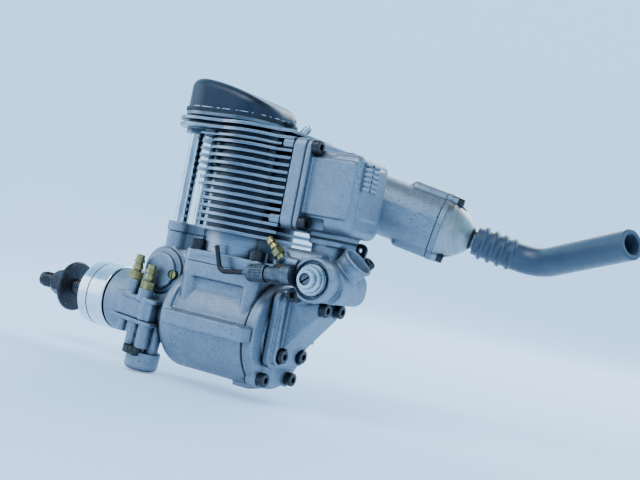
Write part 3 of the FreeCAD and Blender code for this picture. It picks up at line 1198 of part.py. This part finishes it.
def gaskets():
    """Thin sheets between the bolted castings."""
    sheets = [rear_gasket(), chamber_gasket(), neck_gasket(), head_gasket(), header_gasket()]
    sheets.append(housing_gasket(REAR_COVER_REAR - 0.78, REAR_COVER_REAR - 0.42, 12.0, -11.0, 18.0, 3.8))
    sheets.append(housing_gasket(HOUSING_MID - 0.48, HOUSING_MID - 0.02, 11.2, -10.0, 17.2, 3.4))
    return Part.makeCompound(sheets)


def all_cap_screws():
    stud_sizes = {"head_r": STUD_HEAD_R, "head_h": STUD_HEAD_H, "shank_r": STUD_SHANK_R}
    sets = [
        cap_screws(REAR_SEATS, -X_AXIS, REAR_LENGTH),
        cap_screws(STUD_SEATS, Z_AXIS, STUD_LENGTH, **stud_sizes),
        cap_screws(HEAD_SEATS, Z_AXIS, HEAD_SCREW_LENGTH),
        cap_screws(FLANGE_SEATS, -X_AXIS, FLANGE_SCREW_LENGTH),
        cap_screws(LOW_HOUSING_SEATS, -X_AXIS, LOW_HOUSING_LENGTH),
        cap_screws(TOP_HOUSING_SEATS, -X_AXIS, 5.6),
        header_screws(),
        cap_screw(EAR_SEAT, Y_AXIS, EAR_SCREW_LENGTH),
    ]
    return Part.makeCompound(sets)


def main():
    os.makedirs("parts", exist_ok=True)
    outer_rings, inner_rings, balls = bearing_parts()
    nodes = {
        "crankcase": crankcase(),
        "rear_cover": rear_cover(),
        "gaskets": gaskets(),
        "cap_screws": all_cap_screws(),
        "crankshaft": crankshaft(),
        "crank_gear": crank_gear(),
        "bearing_outer_rings": Part.makeCompound([outer_rings, cam_bearings()]),
        "bearing_inner_rings": Part.makeCompound([inner_rings, balls]),
        "drive_hub": drive_hub(),
        "propeller_washer": prop_washer(),
        "propeller_nut": prop_nut(),
        "connecting_rod": connecting_rod(),
        "piston": piston(),
        "piston_ring": piston_ring(),
        "wrist_pin": wrist_pin(),
        "rotary_valve": rotary_valve(),
        "camshaft": camshaft(),
        "cam_covers": Part.makeCompound([cam_cover(), cam_plug()]),
        "cam_cover_screw": cam_cover_screw(),
        "tappet_housing": tappet_housing(),
        "pushrod_tubes": pushrod_tubes(),
        "rocker_shaft": rocker_shaft(),
        "cylinder": cylinder(),
        "cylinder_liner": liner(),
        "cylinder_head": cylinder_head(),
        "rocker_cover": rocker_cover(),
        "rocker_cover_gasket": cover_gasket(),
        "glow_plug": glow_plug(),
        "intake_flange": intake_flange(),
        "air_chamber": air_chamber(),
        "carburettor_body": carburettor_body(),
        "fuel_nipples": Part.makeCompound([barbed_nipple(NIPPLE_ROOT, NIPPLE_AXIS, 0.95), pump_nipples()]),
        "regulator_cap": regulator_cap(),
        "regulator_screw": regulator_screw(),
        "throttle_barrel": throttle_barrel(),
        "throttle_arm": throttle_arm(),
        "throttle_stop_screw": throttle_stop_screw(),
        "needle_valve_body": needle_valve_body(),
        "needle_valve": needle_valve(),
        "intake_housing": intake_housing(),
        "fuel_pump_body": pump_body(),
        "fuel_pump_base": pump_base(),
        "fuel_pump_cap": pump_cap(),
        "exhaust_header": exhaust_header(),
        "muffler_body": muffler_body(),
        "muffler_ring": muffler_ring(),
        "muffler_cone": muffler_cone(),
        "muffler_screws": cap_screws(muffler_screw_seats(), MUFFLER_AXIS, 9.0, head_r=2.2, head_h=2.6),
        "exhaust_deflector": exhaust_deflector(),
    }
    for side, y in (("intake", VALVE_Y), ("exhaust", -VALVE_Y)):
        nodes[side + "_tappet"] = tappet(y)
        nodes[side + "_pushrod"] = pushrod(y)
        nodes[side + "_rocker"] = rocker_arm(y)
        nodes[side + "_valve"] = valve(y)
        nodes[side + "_valve_spring"] = valve_spring(y)
    for name, shape in nodes.items():
        export(name, shape)


main()
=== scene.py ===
import json
import math

import bpy
from mathutils import Matrix, Vector


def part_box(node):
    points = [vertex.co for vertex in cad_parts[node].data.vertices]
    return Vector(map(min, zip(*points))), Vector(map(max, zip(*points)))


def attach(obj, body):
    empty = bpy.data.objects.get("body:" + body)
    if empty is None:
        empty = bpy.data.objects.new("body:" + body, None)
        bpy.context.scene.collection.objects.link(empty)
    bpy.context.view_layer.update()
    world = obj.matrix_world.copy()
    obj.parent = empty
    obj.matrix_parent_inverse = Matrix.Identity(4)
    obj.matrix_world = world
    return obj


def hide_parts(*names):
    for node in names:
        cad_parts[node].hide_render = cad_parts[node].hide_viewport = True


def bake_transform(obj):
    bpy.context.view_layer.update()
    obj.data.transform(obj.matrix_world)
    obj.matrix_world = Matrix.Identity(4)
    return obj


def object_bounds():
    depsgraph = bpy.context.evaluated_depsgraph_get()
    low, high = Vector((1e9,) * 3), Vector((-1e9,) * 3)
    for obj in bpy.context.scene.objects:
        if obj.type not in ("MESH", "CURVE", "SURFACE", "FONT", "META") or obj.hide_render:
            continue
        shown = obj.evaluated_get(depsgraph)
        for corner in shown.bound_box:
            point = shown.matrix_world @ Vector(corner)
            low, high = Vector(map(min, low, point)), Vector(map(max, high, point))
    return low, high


MM = 0.001
BLOCK = "engine_block"
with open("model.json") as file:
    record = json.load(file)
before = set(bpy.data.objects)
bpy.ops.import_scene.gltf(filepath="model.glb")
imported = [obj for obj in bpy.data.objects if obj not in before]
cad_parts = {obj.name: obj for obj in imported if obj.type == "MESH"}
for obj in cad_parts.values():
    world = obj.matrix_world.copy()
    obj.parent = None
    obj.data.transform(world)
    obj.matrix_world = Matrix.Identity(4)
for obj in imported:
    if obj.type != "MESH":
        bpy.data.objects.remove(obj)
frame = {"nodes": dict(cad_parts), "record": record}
CAD_BOX = [list(corner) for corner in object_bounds()]


# ---------------------------------------------------------------- places read from the frame
def middle(node):
    low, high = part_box(node)
    return (Vector(low) + Vector(high)) / 2


COVER_LOW = Vector(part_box("rocker_cover")[0])
THREAD_START_X = middle("drive_hub").x
WIRE_START_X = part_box("needle_valve")[1][0] - 15.5 * MM


# ---------------------------------------------------------------- node material toolkit
class Surface:
    """A Principled material with object-space texture helpers, in metres."""

    def __init__(self, name, **uniform):
        self.material = bpy.data.materials.new(name)
        self.material.use_nodes = True
        self.tree = self.material.node_tree
        self.shader = self.tree.nodes["Principled BSDF"]
        for socket, value in uniform.items():
            self.shader.inputs[socket.replace("_", " ")].default_value = value
        self.place = self.tree.nodes.new("ShaderNodeTexCoord").outputs["Object"]

    def node(self, kind, **settings):
        made = self.tree.nodes.new(kind)
        for key, value in settings.items():
            setattr(made, key, value)
        return made

    def link(self, output, target):
        self.tree.links.new(output, target)
        return output

    def stretched(self, scale):
        mapping = self.node("ShaderNodeMapping")
        self.link(self.place, mapping.inputs["Vector"])
        mapping.inputs["Scale"].default_value = scale
        return mapping.outputs["Vector"]

    def noise(self, scale, detail=4.0, rough=0.55, stretch=(1, 1, 1)):
        texture = self.node("ShaderNodeTexNoise")
        self.link(self.stretched(stretch), texture.inputs["Vector"])
        texture.inputs["Scale"].default_value = scale
        texture.inputs["Detail"].default_value = detail
        texture.inputs["Roughness"].default_value = rough
        return texture.outputs["Fac"]

    def ramp(self, value, low, high, start=0.0, end=1.0):
        """Maps low..high of a value to start..end, held flat outside."""
        mapped = self.node("ShaderNodeMapRange", clamp=True)
        self.link(value, mapped.inputs["Value"])
        mapped.inputs["From Min"].default_value = low
        mapped.inputs["From Max"].default_value = high
        mapped.inputs["To Min"].default_value = start
        mapped.inputs["To Max"].default_value = end
        return mapped.outputs["Result"]

    def math(self, operation, first, second):
        made = self.node("ShaderNodeMath", operation=operation)
        for index, value in enumerate((first, second)):
            if isinstance(value, (int, float)):
                made.inputs[index].default_value = value
            else:
                self.link(value, made.inputs[index])
        return made.outputs[0]

    def mix(self, amount, first, second):
        made = self.node("ShaderNodeMix", data_type="RGBA")
        self.link(amount, made.inputs["Factor"])
        for name, value in (("A", first), ("B", second)):
            socket = [s for s in made.inputs if s.name == name and s.type == "RGBA"][0]
            if isinstance(value, (tuple, list)):
                socket.default_value = (*value, 1.0)
            else:
                self.link(value, socket)
        return [s for s in made.outputs if s.type == "RGBA"][0]

    def axis(self, name):
        split = self.node("ShaderNodeSeparateXYZ")
        self.link(self.place, split.inputs["Vector"])
        return split.outputs[name]

    def corner_shade_mask(self, reach, low=0.35, high=0.95):
        """Ambient-occlusion mask for painted shade: 1 in tight corners, 0 on open faces."""
        occlusion = self.node("ShaderNodeAmbientOcclusion", samples=6)
        occlusion.inputs["Distance"].default_value = reach
        return self.ramp(occlusion.outputs["AO"], low, high, 1.0, 0.0)

    def colour(self, output):
        self.link(output, self.shader.inputs["Base Color"])

    def roughness(self, output):
        self.link(output, self.shader.inputs["Roughness"])

    def bump(self, height, strength, depth=0.1 * MM, round_edges=0.0):
        made = self.node("ShaderNodeBump")
        made.inputs["Strength"].default_value = strength
        made.inputs["Distance"].default_value = depth
        self.link(height, made.inputs["Height"])
        if round_edges:
            bevel = self.node("ShaderNodeBevel", samples=4)
            bevel.inputs["Radius"].default_value = round_edges
            self.link(bevel.outputs["Normal"], made.inputs["Normal"])
        self.link(made.outputs["Normal"], self.shader.inputs["Normal"])


# ---------------------------------------------------------------- materials
SPECKLE = (0.11, 0.13, 0.17)
PIT = (0.05, 0.05, 0.06)
# near-black colour for painted shade in corners
CORNER_SHADE = (0.03, 0.03, 0.035)


def cast_alloy(name, base, shade):
    """Bead-blasted casting: fine grain, cloudy tone, painted shade in the corners in patches, and small
    dark pits.
    """
    s = Surface(name, Metallic=0.86)
    cloud = s.ramp(s.noise(230.0, 6.0, 0.7), 0.3, 0.7)
    tone = s.mix(cloud, shade, base)
    speckle = s.ramp(s.noise(2600.0, 3.0, 0.7), 0.42, 0.62, 0.0, 0.5)
    tone = s.mix(speckle, tone, SPECKLE)
    pits = s.ramp(s.noise(1500.0, 2.0), 0.61, 0.67, 0.0, 0.8)
    pits = s.math("MULTIPLY", pits, s.ramp(s.noise(130.0, 2.0), 0.42, 0.58))
    patchy = s.ramp(s.noise(420.0, 4.0), 0.2, 0.65, 0.45, 0.95)
    # painted shade: ambient occlusion darkens the corners, broken into patches by noise
    patchy_corner_shade = s.math("MULTIPLY", s.corner_shade_mask(3.2 * MM, 0.3, 0.92), patchy)
    tone = s.mix(pits, tone, PIT)
    s.colour(s.mix(patchy_corner_shade, tone, CORNER_SHADE))
    s.roughness(s.ramp(s.noise(700.0, 3.0), 0.3, 0.7, 0.42, 0.58))
    grain = s.math("ADD", s.noise(4200.0, 2.0), s.math("MULTIPLY", s.noise(1300.0, 2.0), 0.7))
    s.bump(grain, 0.22, 0.12 * MM, 0.35 * MM)
    return s.material


def machined_alloy():
    """Turned fins and head: cutting lines round the cylinder and painted shade, near black, in the gaps.
    """
    s = Surface("machined_alloy", Metallic=1.0)
    lines = s.noise(60.0, 3.0, 0.6, (1, 1, 90))
    tone = s.mix(s.ramp(lines, 0.35, 0.65), (0.13, 0.155, 0.195), (0.33, 0.37, 0.43))
    # painted shade: ambient occlusion darkens the gaps between the fins to near black
    fin_gap_shade = s.math("MULTIPLY", s.corner_shade_mask(5.0 * MM, 0.38, 0.95), 0.97)
    stain = s.math("MULTIPLY", s.ramp(s.noise(260.0, 4.0), 0.56, 0.7), 0.35)
    tone = s.mix(stain, tone, (0.22, 0.18, 0.13))
    s.colour(s.mix(fin_gap_shade, tone, (0.010, 0.011, 0.015)))
    s.roughness(s.ramp(lines, 0.3, 0.7, 0.24, 0.42))
    s.bump(s.noise(900.0, 2.0, 0.5, (1, 1, 8)), 0.12, 0.08 * MM, 0.2 * MM)
    return s.material


def turned_alloy(name, tarnish=0.0, dull=1.0):
    """Polished turned metal with fine rings across the shaft axis and a few scratches."""
    s = Surface(name, Metallic=1.0)
    rings = s.noise(40.0, 3.0, 0.65, (60, 1, 1))
    scratch = s.ramp(s.noise(900.0, 2.0, 0.5, (1, 0.06, 1)), 0.66, 0.7, 0.0, 0.6)
    low = [dull * value for value in (0.55, 0.60, 0.66)]
    tone = s.mix(s.ramp(rings, 0.3, 0.7), low, [dull * value for value in (0.80, 0.84, 0.88)])
    tone = s.mix(scratch, tone, (0.30, 0.30, 0.33))
    if tarnish:
        patch = s.math("MULTIPLY", s.ramp(s.noise(75.0, 6.0, 0.7), 0.5, 0.62), tarnish)
        tone = s.mix(patch, tone, (0.22, 0.18, 0.12))
    # painted shade: ambient occlusion darkens the turned metal in its corners
    s.colour(s.mix(s.corner_shade_mask(1.2 * MM), tone, (0.05, 0.045, 0.05)))
    s.roughness(s.ramp(rings, 0.3, 0.7, 0.10 + 0.3 * (1 - dull), 0.24 + 0.4 * (1 - dull)))
    s.bump(s.math("ADD", rings, s.noise(2500.0, 2.0)), 0.06, 0.06 * MM, 0.15 * MM)
    return s.material


def navy_paint():
    """Satin navy-black enamel, worn to bright metal in a broken line just above its flange."""
    sheen = {"Coat_Weight": 0.10, "Coat_Roughness": 0.2, "Specular_IOR_Level": 0.24}
    s = Surface("navy_paint", Metallic=0.0, **sheen)
    haze = s.ramp(s.noise(90.0, 5.0), 0.4, 0.7)
    tone = s.mix(haze, (0.006, 0.010, 0.020), (0.012, 0.019, 0.036))
    height = s.axis("Z")
    above = s.ramp(height, COVER_LOW.z + 1.0 * MM, COVER_LOW.z + 1.1 * MM)
    below = s.ramp(height, COVER_LOW.z + 1.3 * MM, COVER_LOW.z + 1.5 * MM, 1.0, 0.0)
    edge = s.math("MULTIPLY", above, below)
    wear = s.math("ADD", s.math("MULTIPLY", edge, 0.42), s.noise(420.0, 6.0, 0.7))
    worn = s.math("GREATER_THAN", wear, 0.90)
    chips = s.math("GREATER_THAN", s.noise(640.0, 5.0, 0.75), 0.75)
    metal = s.math("MAXIMUM", worn, chips)
    s.colour(s.mix(metal, tone, (0.62, 0.63, 0.66)))
    s.link(metal, s.shader.inputs["Metallic"])
    s.roughness(s.ramp(s.noise(1200.0, 3.0), 0.3, 0.7, 0.32, 0.48))
    s.bump(s.noise(300.0, 4.0), 0.05, 0.2 * MM)
    return s.material


def black_oxide(name="black_oxide", warm=(0.075, 0.055, 0.045)):
    s = Surface(name, Metallic=0.85)
    rust = s.ramp(s.noise(700.0, 5.0, 0.7), 0.5, 0.7)
    tone = s.mix(rust, (0.030, 0.030, 0.036), warm)
    rub = s.math("MULTIPLY", s.ramp(s.noise(1500.0, 3.0), 0.62, 0.7), 0.5)
    s.colour(s.mix(rub, tone, (0.30, 0.30, 0.32)))
    s.roughness(s.ramp(s.noise(900.0, 3.0), 0.3, 0.7, 0.26, 0.44))
    s.bump(s.noise(2200.0, 3.0), 0.12, 0.08 * MM, 0.12 * MM)
    return s.material


def chrome_tube():
    s = Surface("chrome_tube", Metallic=1.0)
    stain = s.ramp(s.noise(240.0, 5.0, 0.6, (1, 1, 0.4)), 0.5, 0.72)
    s.colour(s.mix(stain, (0.50, 0.54, 0.58), (0.32, 0.34, 0.36)))
    s.roughness(s.ramp(s.noise(500.0, 3.0), 0.3, 0.7, 0.05, 0.13))
    s.bump(s.noise(800.0, 2.0, 0.5, (1, 1, 0.2)), 0.04, 0.05 * MM)
    return s.material


def bright_steel():
    s = Surface("bright_steel", Metallic=1.0)
    lines = s.noise(900.0, 3.0, 0.6)
    s.colour(s.mix(s.ramp(lines, 0.3, 0.7), (0.42, 0.42, 0.44), (0.62, 0.62, 0.64)))
    s.roughness(s.ramp(lines, 0.3, 0.7, 0.20, 0.36))
    s.bump(s.noise(1800.0, 2.0), 0.08, 0.06 * MM, 0.12 * MM)
    return s.material


def dark_thread():
    """Shaft steel, black in the exposed thread and bright inside the case."""
    s = Surface("dark_thread", Metallic=0.9)
    outside = s.ramp(s.axis("X"), THREAD_START_X, THREAD_START_X + 6 * MM)
    tone = s.mix(outside, (0.55, 0.55, 0.57), (0.045, 0.042, 0.045))
    shine = s.math("MULTIPLY", s.ramp(s.noise(1600.0, 3.0), 0.58, 0.7), 0.45)
    s.colour(s.mix(shine, tone, (0.45, 0.44, 0.42)))
    s.roughness(s.ramp(s.noise(900.0, 3.0), 0.3, 0.7, 0.26, 0.42))
    s.bump(s.noise(2400.0, 2.0), 0.1, 0.06 * MM)
    return s.material


def brass():
    s = Surface("brass", Metallic=1.0)
    film = s.ramp(s.noise(420.0, 5.0, 0.65), 0.38, 0.7)
    tone = s.mix(film, (0.38, 0.30, 0.12), (0.17, 0.145, 0.075))
    # painted shade: ambient occlusion darkens the brass in its corners
    s.colour(s.mix(s.corner_shade_mask(1.0 * MM), tone, (0.06, 0.05, 0.03)))
    s.roughness(s.ramp(s.noise(800.0, 3.0), 0.3, 0.7, 0.24, 0.42))
    s.bump(s.noise(1500.0, 3.0), 0.1, 0.06 * MM, 0.1 * MM)
    return s.material


def gunmetal():
    s = Surface("gunmetal", Metallic=1.0)
    film = s.ramp(s.noise(520.0, 5.0, 0.65), 0.35, 0.7)
    tone = s.mix(film, (0.09, 0.095, 0.11), (0.17, 0.17, 0.19))
    # painted shade: ambient occlusion darkens the gunmetal in its corners
    s.colour(s.mix(s.corner_shade_mask(0.8 * MM), tone, (0.03, 0.025, 0.02)))
    s.roughness(s.ramp(s.noise(900.0, 3.0), 0.3, 0.7, 0.24, 0.4))
    s.bump(s.noise(1800.0, 3.0), 0.1, 0.06 * MM, 0.12 * MM)
    return s.material


def needle_finish():
    """Gunmetal thimble with a dark brown bent wire ahead of it."""
    s = Surface("needle_finish", Metallic=1.0)
    film = s.ramp(s.noise(520.0, 5.0, 0.65), 0.35, 0.7)
    tone = s.mix(film, (0.08, 0.085, 0.10), (0.16, 0.165, 0.185))
    wire = s.ramp(s.axis("X"), WIRE_START_X, WIRE_START_X + 0.4 * MM)
    tone = s.mix(wire, tone, (0.045, 0.036, 0.036))
    # painted shade: ambient occlusion darkens the needle in its corners
    s.colour(s.mix(s.corner_shade_mask(0.8 * MM), tone, (0.03, 0.025, 0.02)))
    s.roughness(s.ramp(s.noise(900.0, 3.0), 0.3, 0.7, 0.28, 0.45))
    s.bump(s.noise(1800.0, 3.0), 0.1, 0.06 * MM, 0.12 * MM)
    return s.material


def black_sheet(name, rough):
    s = Surface(name)
    s.colour(s.mix(s.ramp(s.noise(900.0, 4.0), 0.35, 0.7), (0.012, 0.012, 0.013), (0.040, 0.036, 0.032)))
    s.roughness(s.ramp(s.noise(600.0, 3.0), 0.3, 0.7, rough, rough + 0.15))
    s.bump(s.noise(2200.0, 3.0), 0.15, 0.08 * MM, 0.12 * MM)
    return s.material


def blue_silicone():
    """Soft moulded slate-blue rubber with faint dust and flow clouds."""
    skin = {"Sheen_Weight": 0.25, "Sheen_Roughness": 0.4, "Coat_Weight": 0.12, "Coat_Roughness": 0.35}
    s = Surface("blue_silicone", **skin)
    cloud = s.ramp(s.noise(120.0, 4.0), 0.35, 0.7)
    tone = s.mix(cloud, (0.020, 0.035, 0.062), (0.030, 0.050, 0.082))
    dust = s.math("MULTIPLY", s.ramp(s.noise(1400.0, 4.0, 0.7), 0.6, 0.75), 0.25)
    tone = s.mix(dust, tone, (0.14, 0.17, 0.22))
    # painted shade: ambient occlusion darkens the rubber in its corners
    s.colour(s.mix(s.corner_shade_mask(1.6 * MM), tone, (0.02, 0.03, 0.05)))
    s.roughness(s.ramp(s.noise(500.0, 3.0), 0.3, 0.7, 0.36, 0.5))
    s.bump(s.noise(900.0, 3.0), 0.08, 0.1 * MM)
    return s.material


CAST = cast_alloy("cast_alloy", (0.285, 0.325, 0.385), (0.205, 0.238, 0.29))
CAST_BRIGHT = cast_alloy("cast_bright", (0.31, 0.35, 0.41), (0.225, 0.26, 0.315))
MACHINED = machined_alloy()
HUB = turned_alloy("turned_alloy")
CONE = turned_alloy("tarnished_alloy", 0.5, 0.42)
CAP = turned_alloy("warm_turned_alloy", 0.35)
STEEL = bright_steel()
BLACK = black_oxide()
BRASS = brass()
GUNMETAL = gunmetal()

FINISHES = {
    "cast_alloy": CAST,
    "machined_alloy": MACHINED,
    "polished_alloy": HUB,
    "navy_paint": navy_paint(),
    "black_steel": BLACK,
    "chrome_tube": chrome_tube(),
    "bright_steel": STEEL,
    "brass": BRASS,
    "gunmetal": GUNMETAL,
    "black_gasket": black_sheet("black_gasket", 0.6),
    "black_plastic": black_sheet("black_plastic", 0.45),
    "blue_silicone": blue_silicone(),
}
SPECIAL = {
    "muffler_cone": CONE,
    "regulator_cap": CAP,
    "crankshaft": dark_thread(),
    "intake_flange": CAST_BRIGHT,
    "needle_valve": needle_finish(),
}
SLOTS = {entry["node"]: entry["material_slot"] for entry in frame["record"]["subparts"]}


def finish_of(node):
    return SPECIAL.get(node, FINISHES[SLOTS[node]])


def paint_frame():
    for name, thing in frame["nodes"].items():
        thing.data.materials.clear()
        thing.data.materials.append(finish_of(name))


# ---------------------------------------------------------------- softened castings
def apply_modifiers(thing):
    depsgraph = bpy.context.evaluated_depsgraph_get()
    mesh = bpy.data.meshes.new_from_object(thing.evaluated_get(depsgraph))
    thing.modifiers.clear()
    thing.data = mesh


def body_of(node):
    groups = frame["record"]["behaviour"]["bodies"]
    return next(body for body, members in groups.items() if node in members)


def soften(node, voxel, passes=4):
    """A copy of a casting with its hard machined edges melted into small fillets."""
    piece = bpy.data.objects.new(node + "_cast", frame["nodes"][node].data.copy())
    bpy.context.scene.collection.objects.link(piece)
    remesh = piece.modifiers.new("voxels", "REMESH")
    remesh.mode = "VOXEL"
    remesh.voxel_size = voxel * MM
    remesh.use_smooth_shade = True
    smooth = piece.modifiers.new("melt", "SMOOTH")
    smooth.factor = 0.5
    smooth.iterations = passes
    apply_modifiers(piece)
    piece.data.materials.clear()
    piece.data.materials.append(finish_of(node))
    for face in piece.data.polygons:
        face.use_smooth = True
    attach(piece, body_of(node))
    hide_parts(node)
    return piece


CASTINGS = {
    "crankcase": 0.42,
    "rear_cover": 0.36,
    "intake_housing": 0.32,
    "air_chamber": 0.36,
    "intake_flange": 0.32,
    "carburettor_body": 0.30,
    "fuel_pump_body": 0.28,
    "fuel_pump_base": 0.28,
    "muffler_body": 0.42,
    "exhaust_header": 0.36,
    "cam_covers": 0.28,
    "tappet_housing": 0.28,
    "exhaust_deflector": 0.36,
}


# ---------------------------------------------------------------- valve spring copies
def valve_coil(side):
    """A copy of a valve spring, baked in place, with the original part hidden."""
    node = side + "_valve_spring"
    piece = bpy.data.objects.new(node + "_coil", frame["nodes"][node].data.copy())
    bpy.context.scene.collection.objects.link(piece)
    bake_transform(piece)
    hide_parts(node)


# ---------------------------------------------------------------- moulded ribs on the chamber
RIB_COUNT = 6
RIB_PITCH = 1.9
FIRST_RIB_DROP = 6.4


def chamber_ribs():
    """Short horizontal ribs with chamfered crowns, in two columns on the chamber's rear face."""
    low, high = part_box("air_chamber")
    wall = low[0] + 0.15 * MM
    centre_y = (low[1] + high[1]) / 2
    points, faces = [], []
    for column in ((-1.6, 3.4), (5.0, 9.6)):
        for step in range(RIB_COUNT):
            z = high[2] - (FIRST_RIB_DROP + RIB_PITCH * step) * MM
            start = len(points)
            for y in column:
                for x, half in ((0.6, 0.62), (-0.25, 0.62), (-0.5, 0.34)):
                    points.append((wall + x * MM, centre_y + y * MM, z - half * MM))
                    points.append((wall + x * MM, centre_y + y * MM, z + half * MM))
            for a, b in ((0, 2), (2, 4), (5, 3), (3, 1)):
                faces.append((start + a, start + b, start + b + 6, start + a + 6))
            faces.append((start + 4, start + 5, start + 11, start + 10))
            faces.append((start + 1, start, start + 6, start + 7))
            faces.append((start, start + 1, start + 3, start + 5, start + 4, start + 2))
            faces.append((start + 6, start + 8, start + 10, start + 11, start + 9, start + 7))
    mesh = bpy.data.meshes.new("chamber_ribs")
    mesh.from_pydata(points, [], faces)
    mesh.materials.append(CAST)
    piece = bpy.data.objects.new("chamber_ribs", mesh)
    bpy.context.scene.collection.objects.link(piece)
    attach(piece, BLOCK)


# ---------------------------------------------------------------- stage, light, camera
def stage():
    """Round pale floor that curves up into a backdrop, just under the engine, glowing as painted light
    that is strongest at -Y and weaker towards +Y.
    """
    floor_z = CAD_BOX[0][2] - 0.4 * MM
    centre = middle("crankcase")
    flat, bend, top, turns, arc = 0.75, 0.9, 2.6, 96, 14
    profile = [(0.0, 0.0), (flat, 0.0)]
    for step in range(1, arc + 1):
        angle = math.pi / 2 * step / arc
        profile.append((flat + bend * math.sin(angle), bend * (1 - math.cos(angle))))
    profile.append((flat + bend, top))
    points, faces = [], []
    for radius, height in profile:
        for turn in range(turns):
            angle = 2 * math.pi * turn / turns
            x = centre.x + radius * math.cos(angle)
            y = centre.y + radius * math.sin(angle)
            points.append((x, y, floor_z + height))
    for ring in range(len(profile) - 1):
        for turn in range(turns):
            ahead = (turn + 1) % turns
            inner, outer = ring * turns, (ring + 1) * turns
            faces.append((inner + turn, inner + ahead, outer + ahead, outer + turn))
    mesh = bpy.data.meshes.new("studio_floor")
    mesh.from_pydata(points, [], faces)
    for face in mesh.polygons:
        face.use_smooth = True
    floor = bpy.data.objects.new("studio_floor", mesh)
    bpy.context.scene.collection.objects.link(floor)
    s = Surface("pale_paper", Roughness=0.85)
    height = s.ramp(s.axis("Z"), floor_z, floor_z + 0.5)
    tone = s.mix(height, (0.50, 0.68, 0.88), (0.50, 0.76, 0.90))
    s.colour(s.mix(s.ramp(s.noise(30.0, 3.0), 0.3, 0.7, 0.0, 0.06), tone, (0.55, 0.62, 0.75)))
    # painted light: floor and backdrop glow in their own colour, strongest at -Y, weaker towards +Y
    s.link(tone, s.shader.inputs["Emission Color"])
    painted_backdrop_light = s.ramp(s.axis("Y"), -0.7, 0.45, 0.98, 0.30)
    s.link(painted_backdrop_light, s.shader.inputs["Emission Strength"])
    mesh.materials.append(s.material)


def lamp(name, place, target, size, power, tint=(1, 1, 1)):
    light = bpy.data.lights.new(name, "AREA")
    light.shape = "RECTANGLE"
    light.size, light.size_y = size
    light.energy = power
    light.color = tint
    thing = bpy.data.objects.new(name, light)
    bpy.context.scene.collection.objects.link(thing)
    thing.location = place
    thing.rotation_euler = (target - Vector(place)).to_track_quat("-Z", "Y").to_euler()


SKY_COLOUR = (0.80, 0.88, 1.0, 1.0)
SKY_STRENGTH = 0.12


def lights():
    target = middle("cylinder")
    lamp("key", (0.10, 0.42, 0.62), target, (0.50, 0.40), 4.6, (0.84, 0.93, 1.0))
    lamp("fill", (-0.62, 0.40, 0.20), target, (0.60, 0.50), 0.7, (0.80, 0.90, 1.0))
    lamp("front", (0.60, 0.30, 0.16), target, (0.50, 0.50), 1.8, (0.84, 0.93, 1.0))
    lamp("back", (-0.05, -0.60, 0.50), target, (0.70, 0.50), 6.0, (0.88, 0.94, 1.0))
    world = bpy.data.worlds.new("studio")
    world.use_nodes = True
    sky = world.node_tree.nodes["Background"]
    sky.inputs["Color"].default_value = SKY_COLOUR
    sky.inputs["Strength"].default_value = SKY_STRENGTH
    bpy.context.scene.world = world


CAMERA_PLACE = (-0.2236, 0.3386, 0.0384)
CAMERA_RIGHT = (-0.851, -0.488, 0.192)
CAMERA_BACK = (-0.500, 0.866, -0.012)
SENSOR_WIDTH_MM = 36.0
LENS_MM = 56.49
NEAR_CLIP = 0.01


def camera():
    """Camera left and slightly behind the engine, near its own level, rolled about the view line."""
    right = Vector(CAMERA_RIGHT).normalized()
    back = Vector(CAMERA_BACK).normalized()
    up = back.cross(right).normalized()
    right = up.cross(back).normalized()
    place = Vector(CAMERA_PLACE)
    view = bpy.data.cameras.new("camera")
    view.sensor_width = SENSOR_WIDTH_MM
    view.lens = LENS_MM
    view.clip_start = NEAR_CLIP
    thing = bpy.data.objects.new("camera", view)
    bpy.context.scene.collection.objects.link(thing)
    rotation = Matrix((right, up, back)).transposed().to_4x4()
    thing.matrix_world = Matrix.Translation(place) @ rotation
    bpy.context.scene.camera = thing


paint_frame()
for casting, voxel_mm in CASTINGS.items():
    soften(casting, voxel_mm)
chamber_ribs()
for valve_side in ("intake", "exhaust"):
    valve_coil(valve_side)
stage()
lights()
camera()
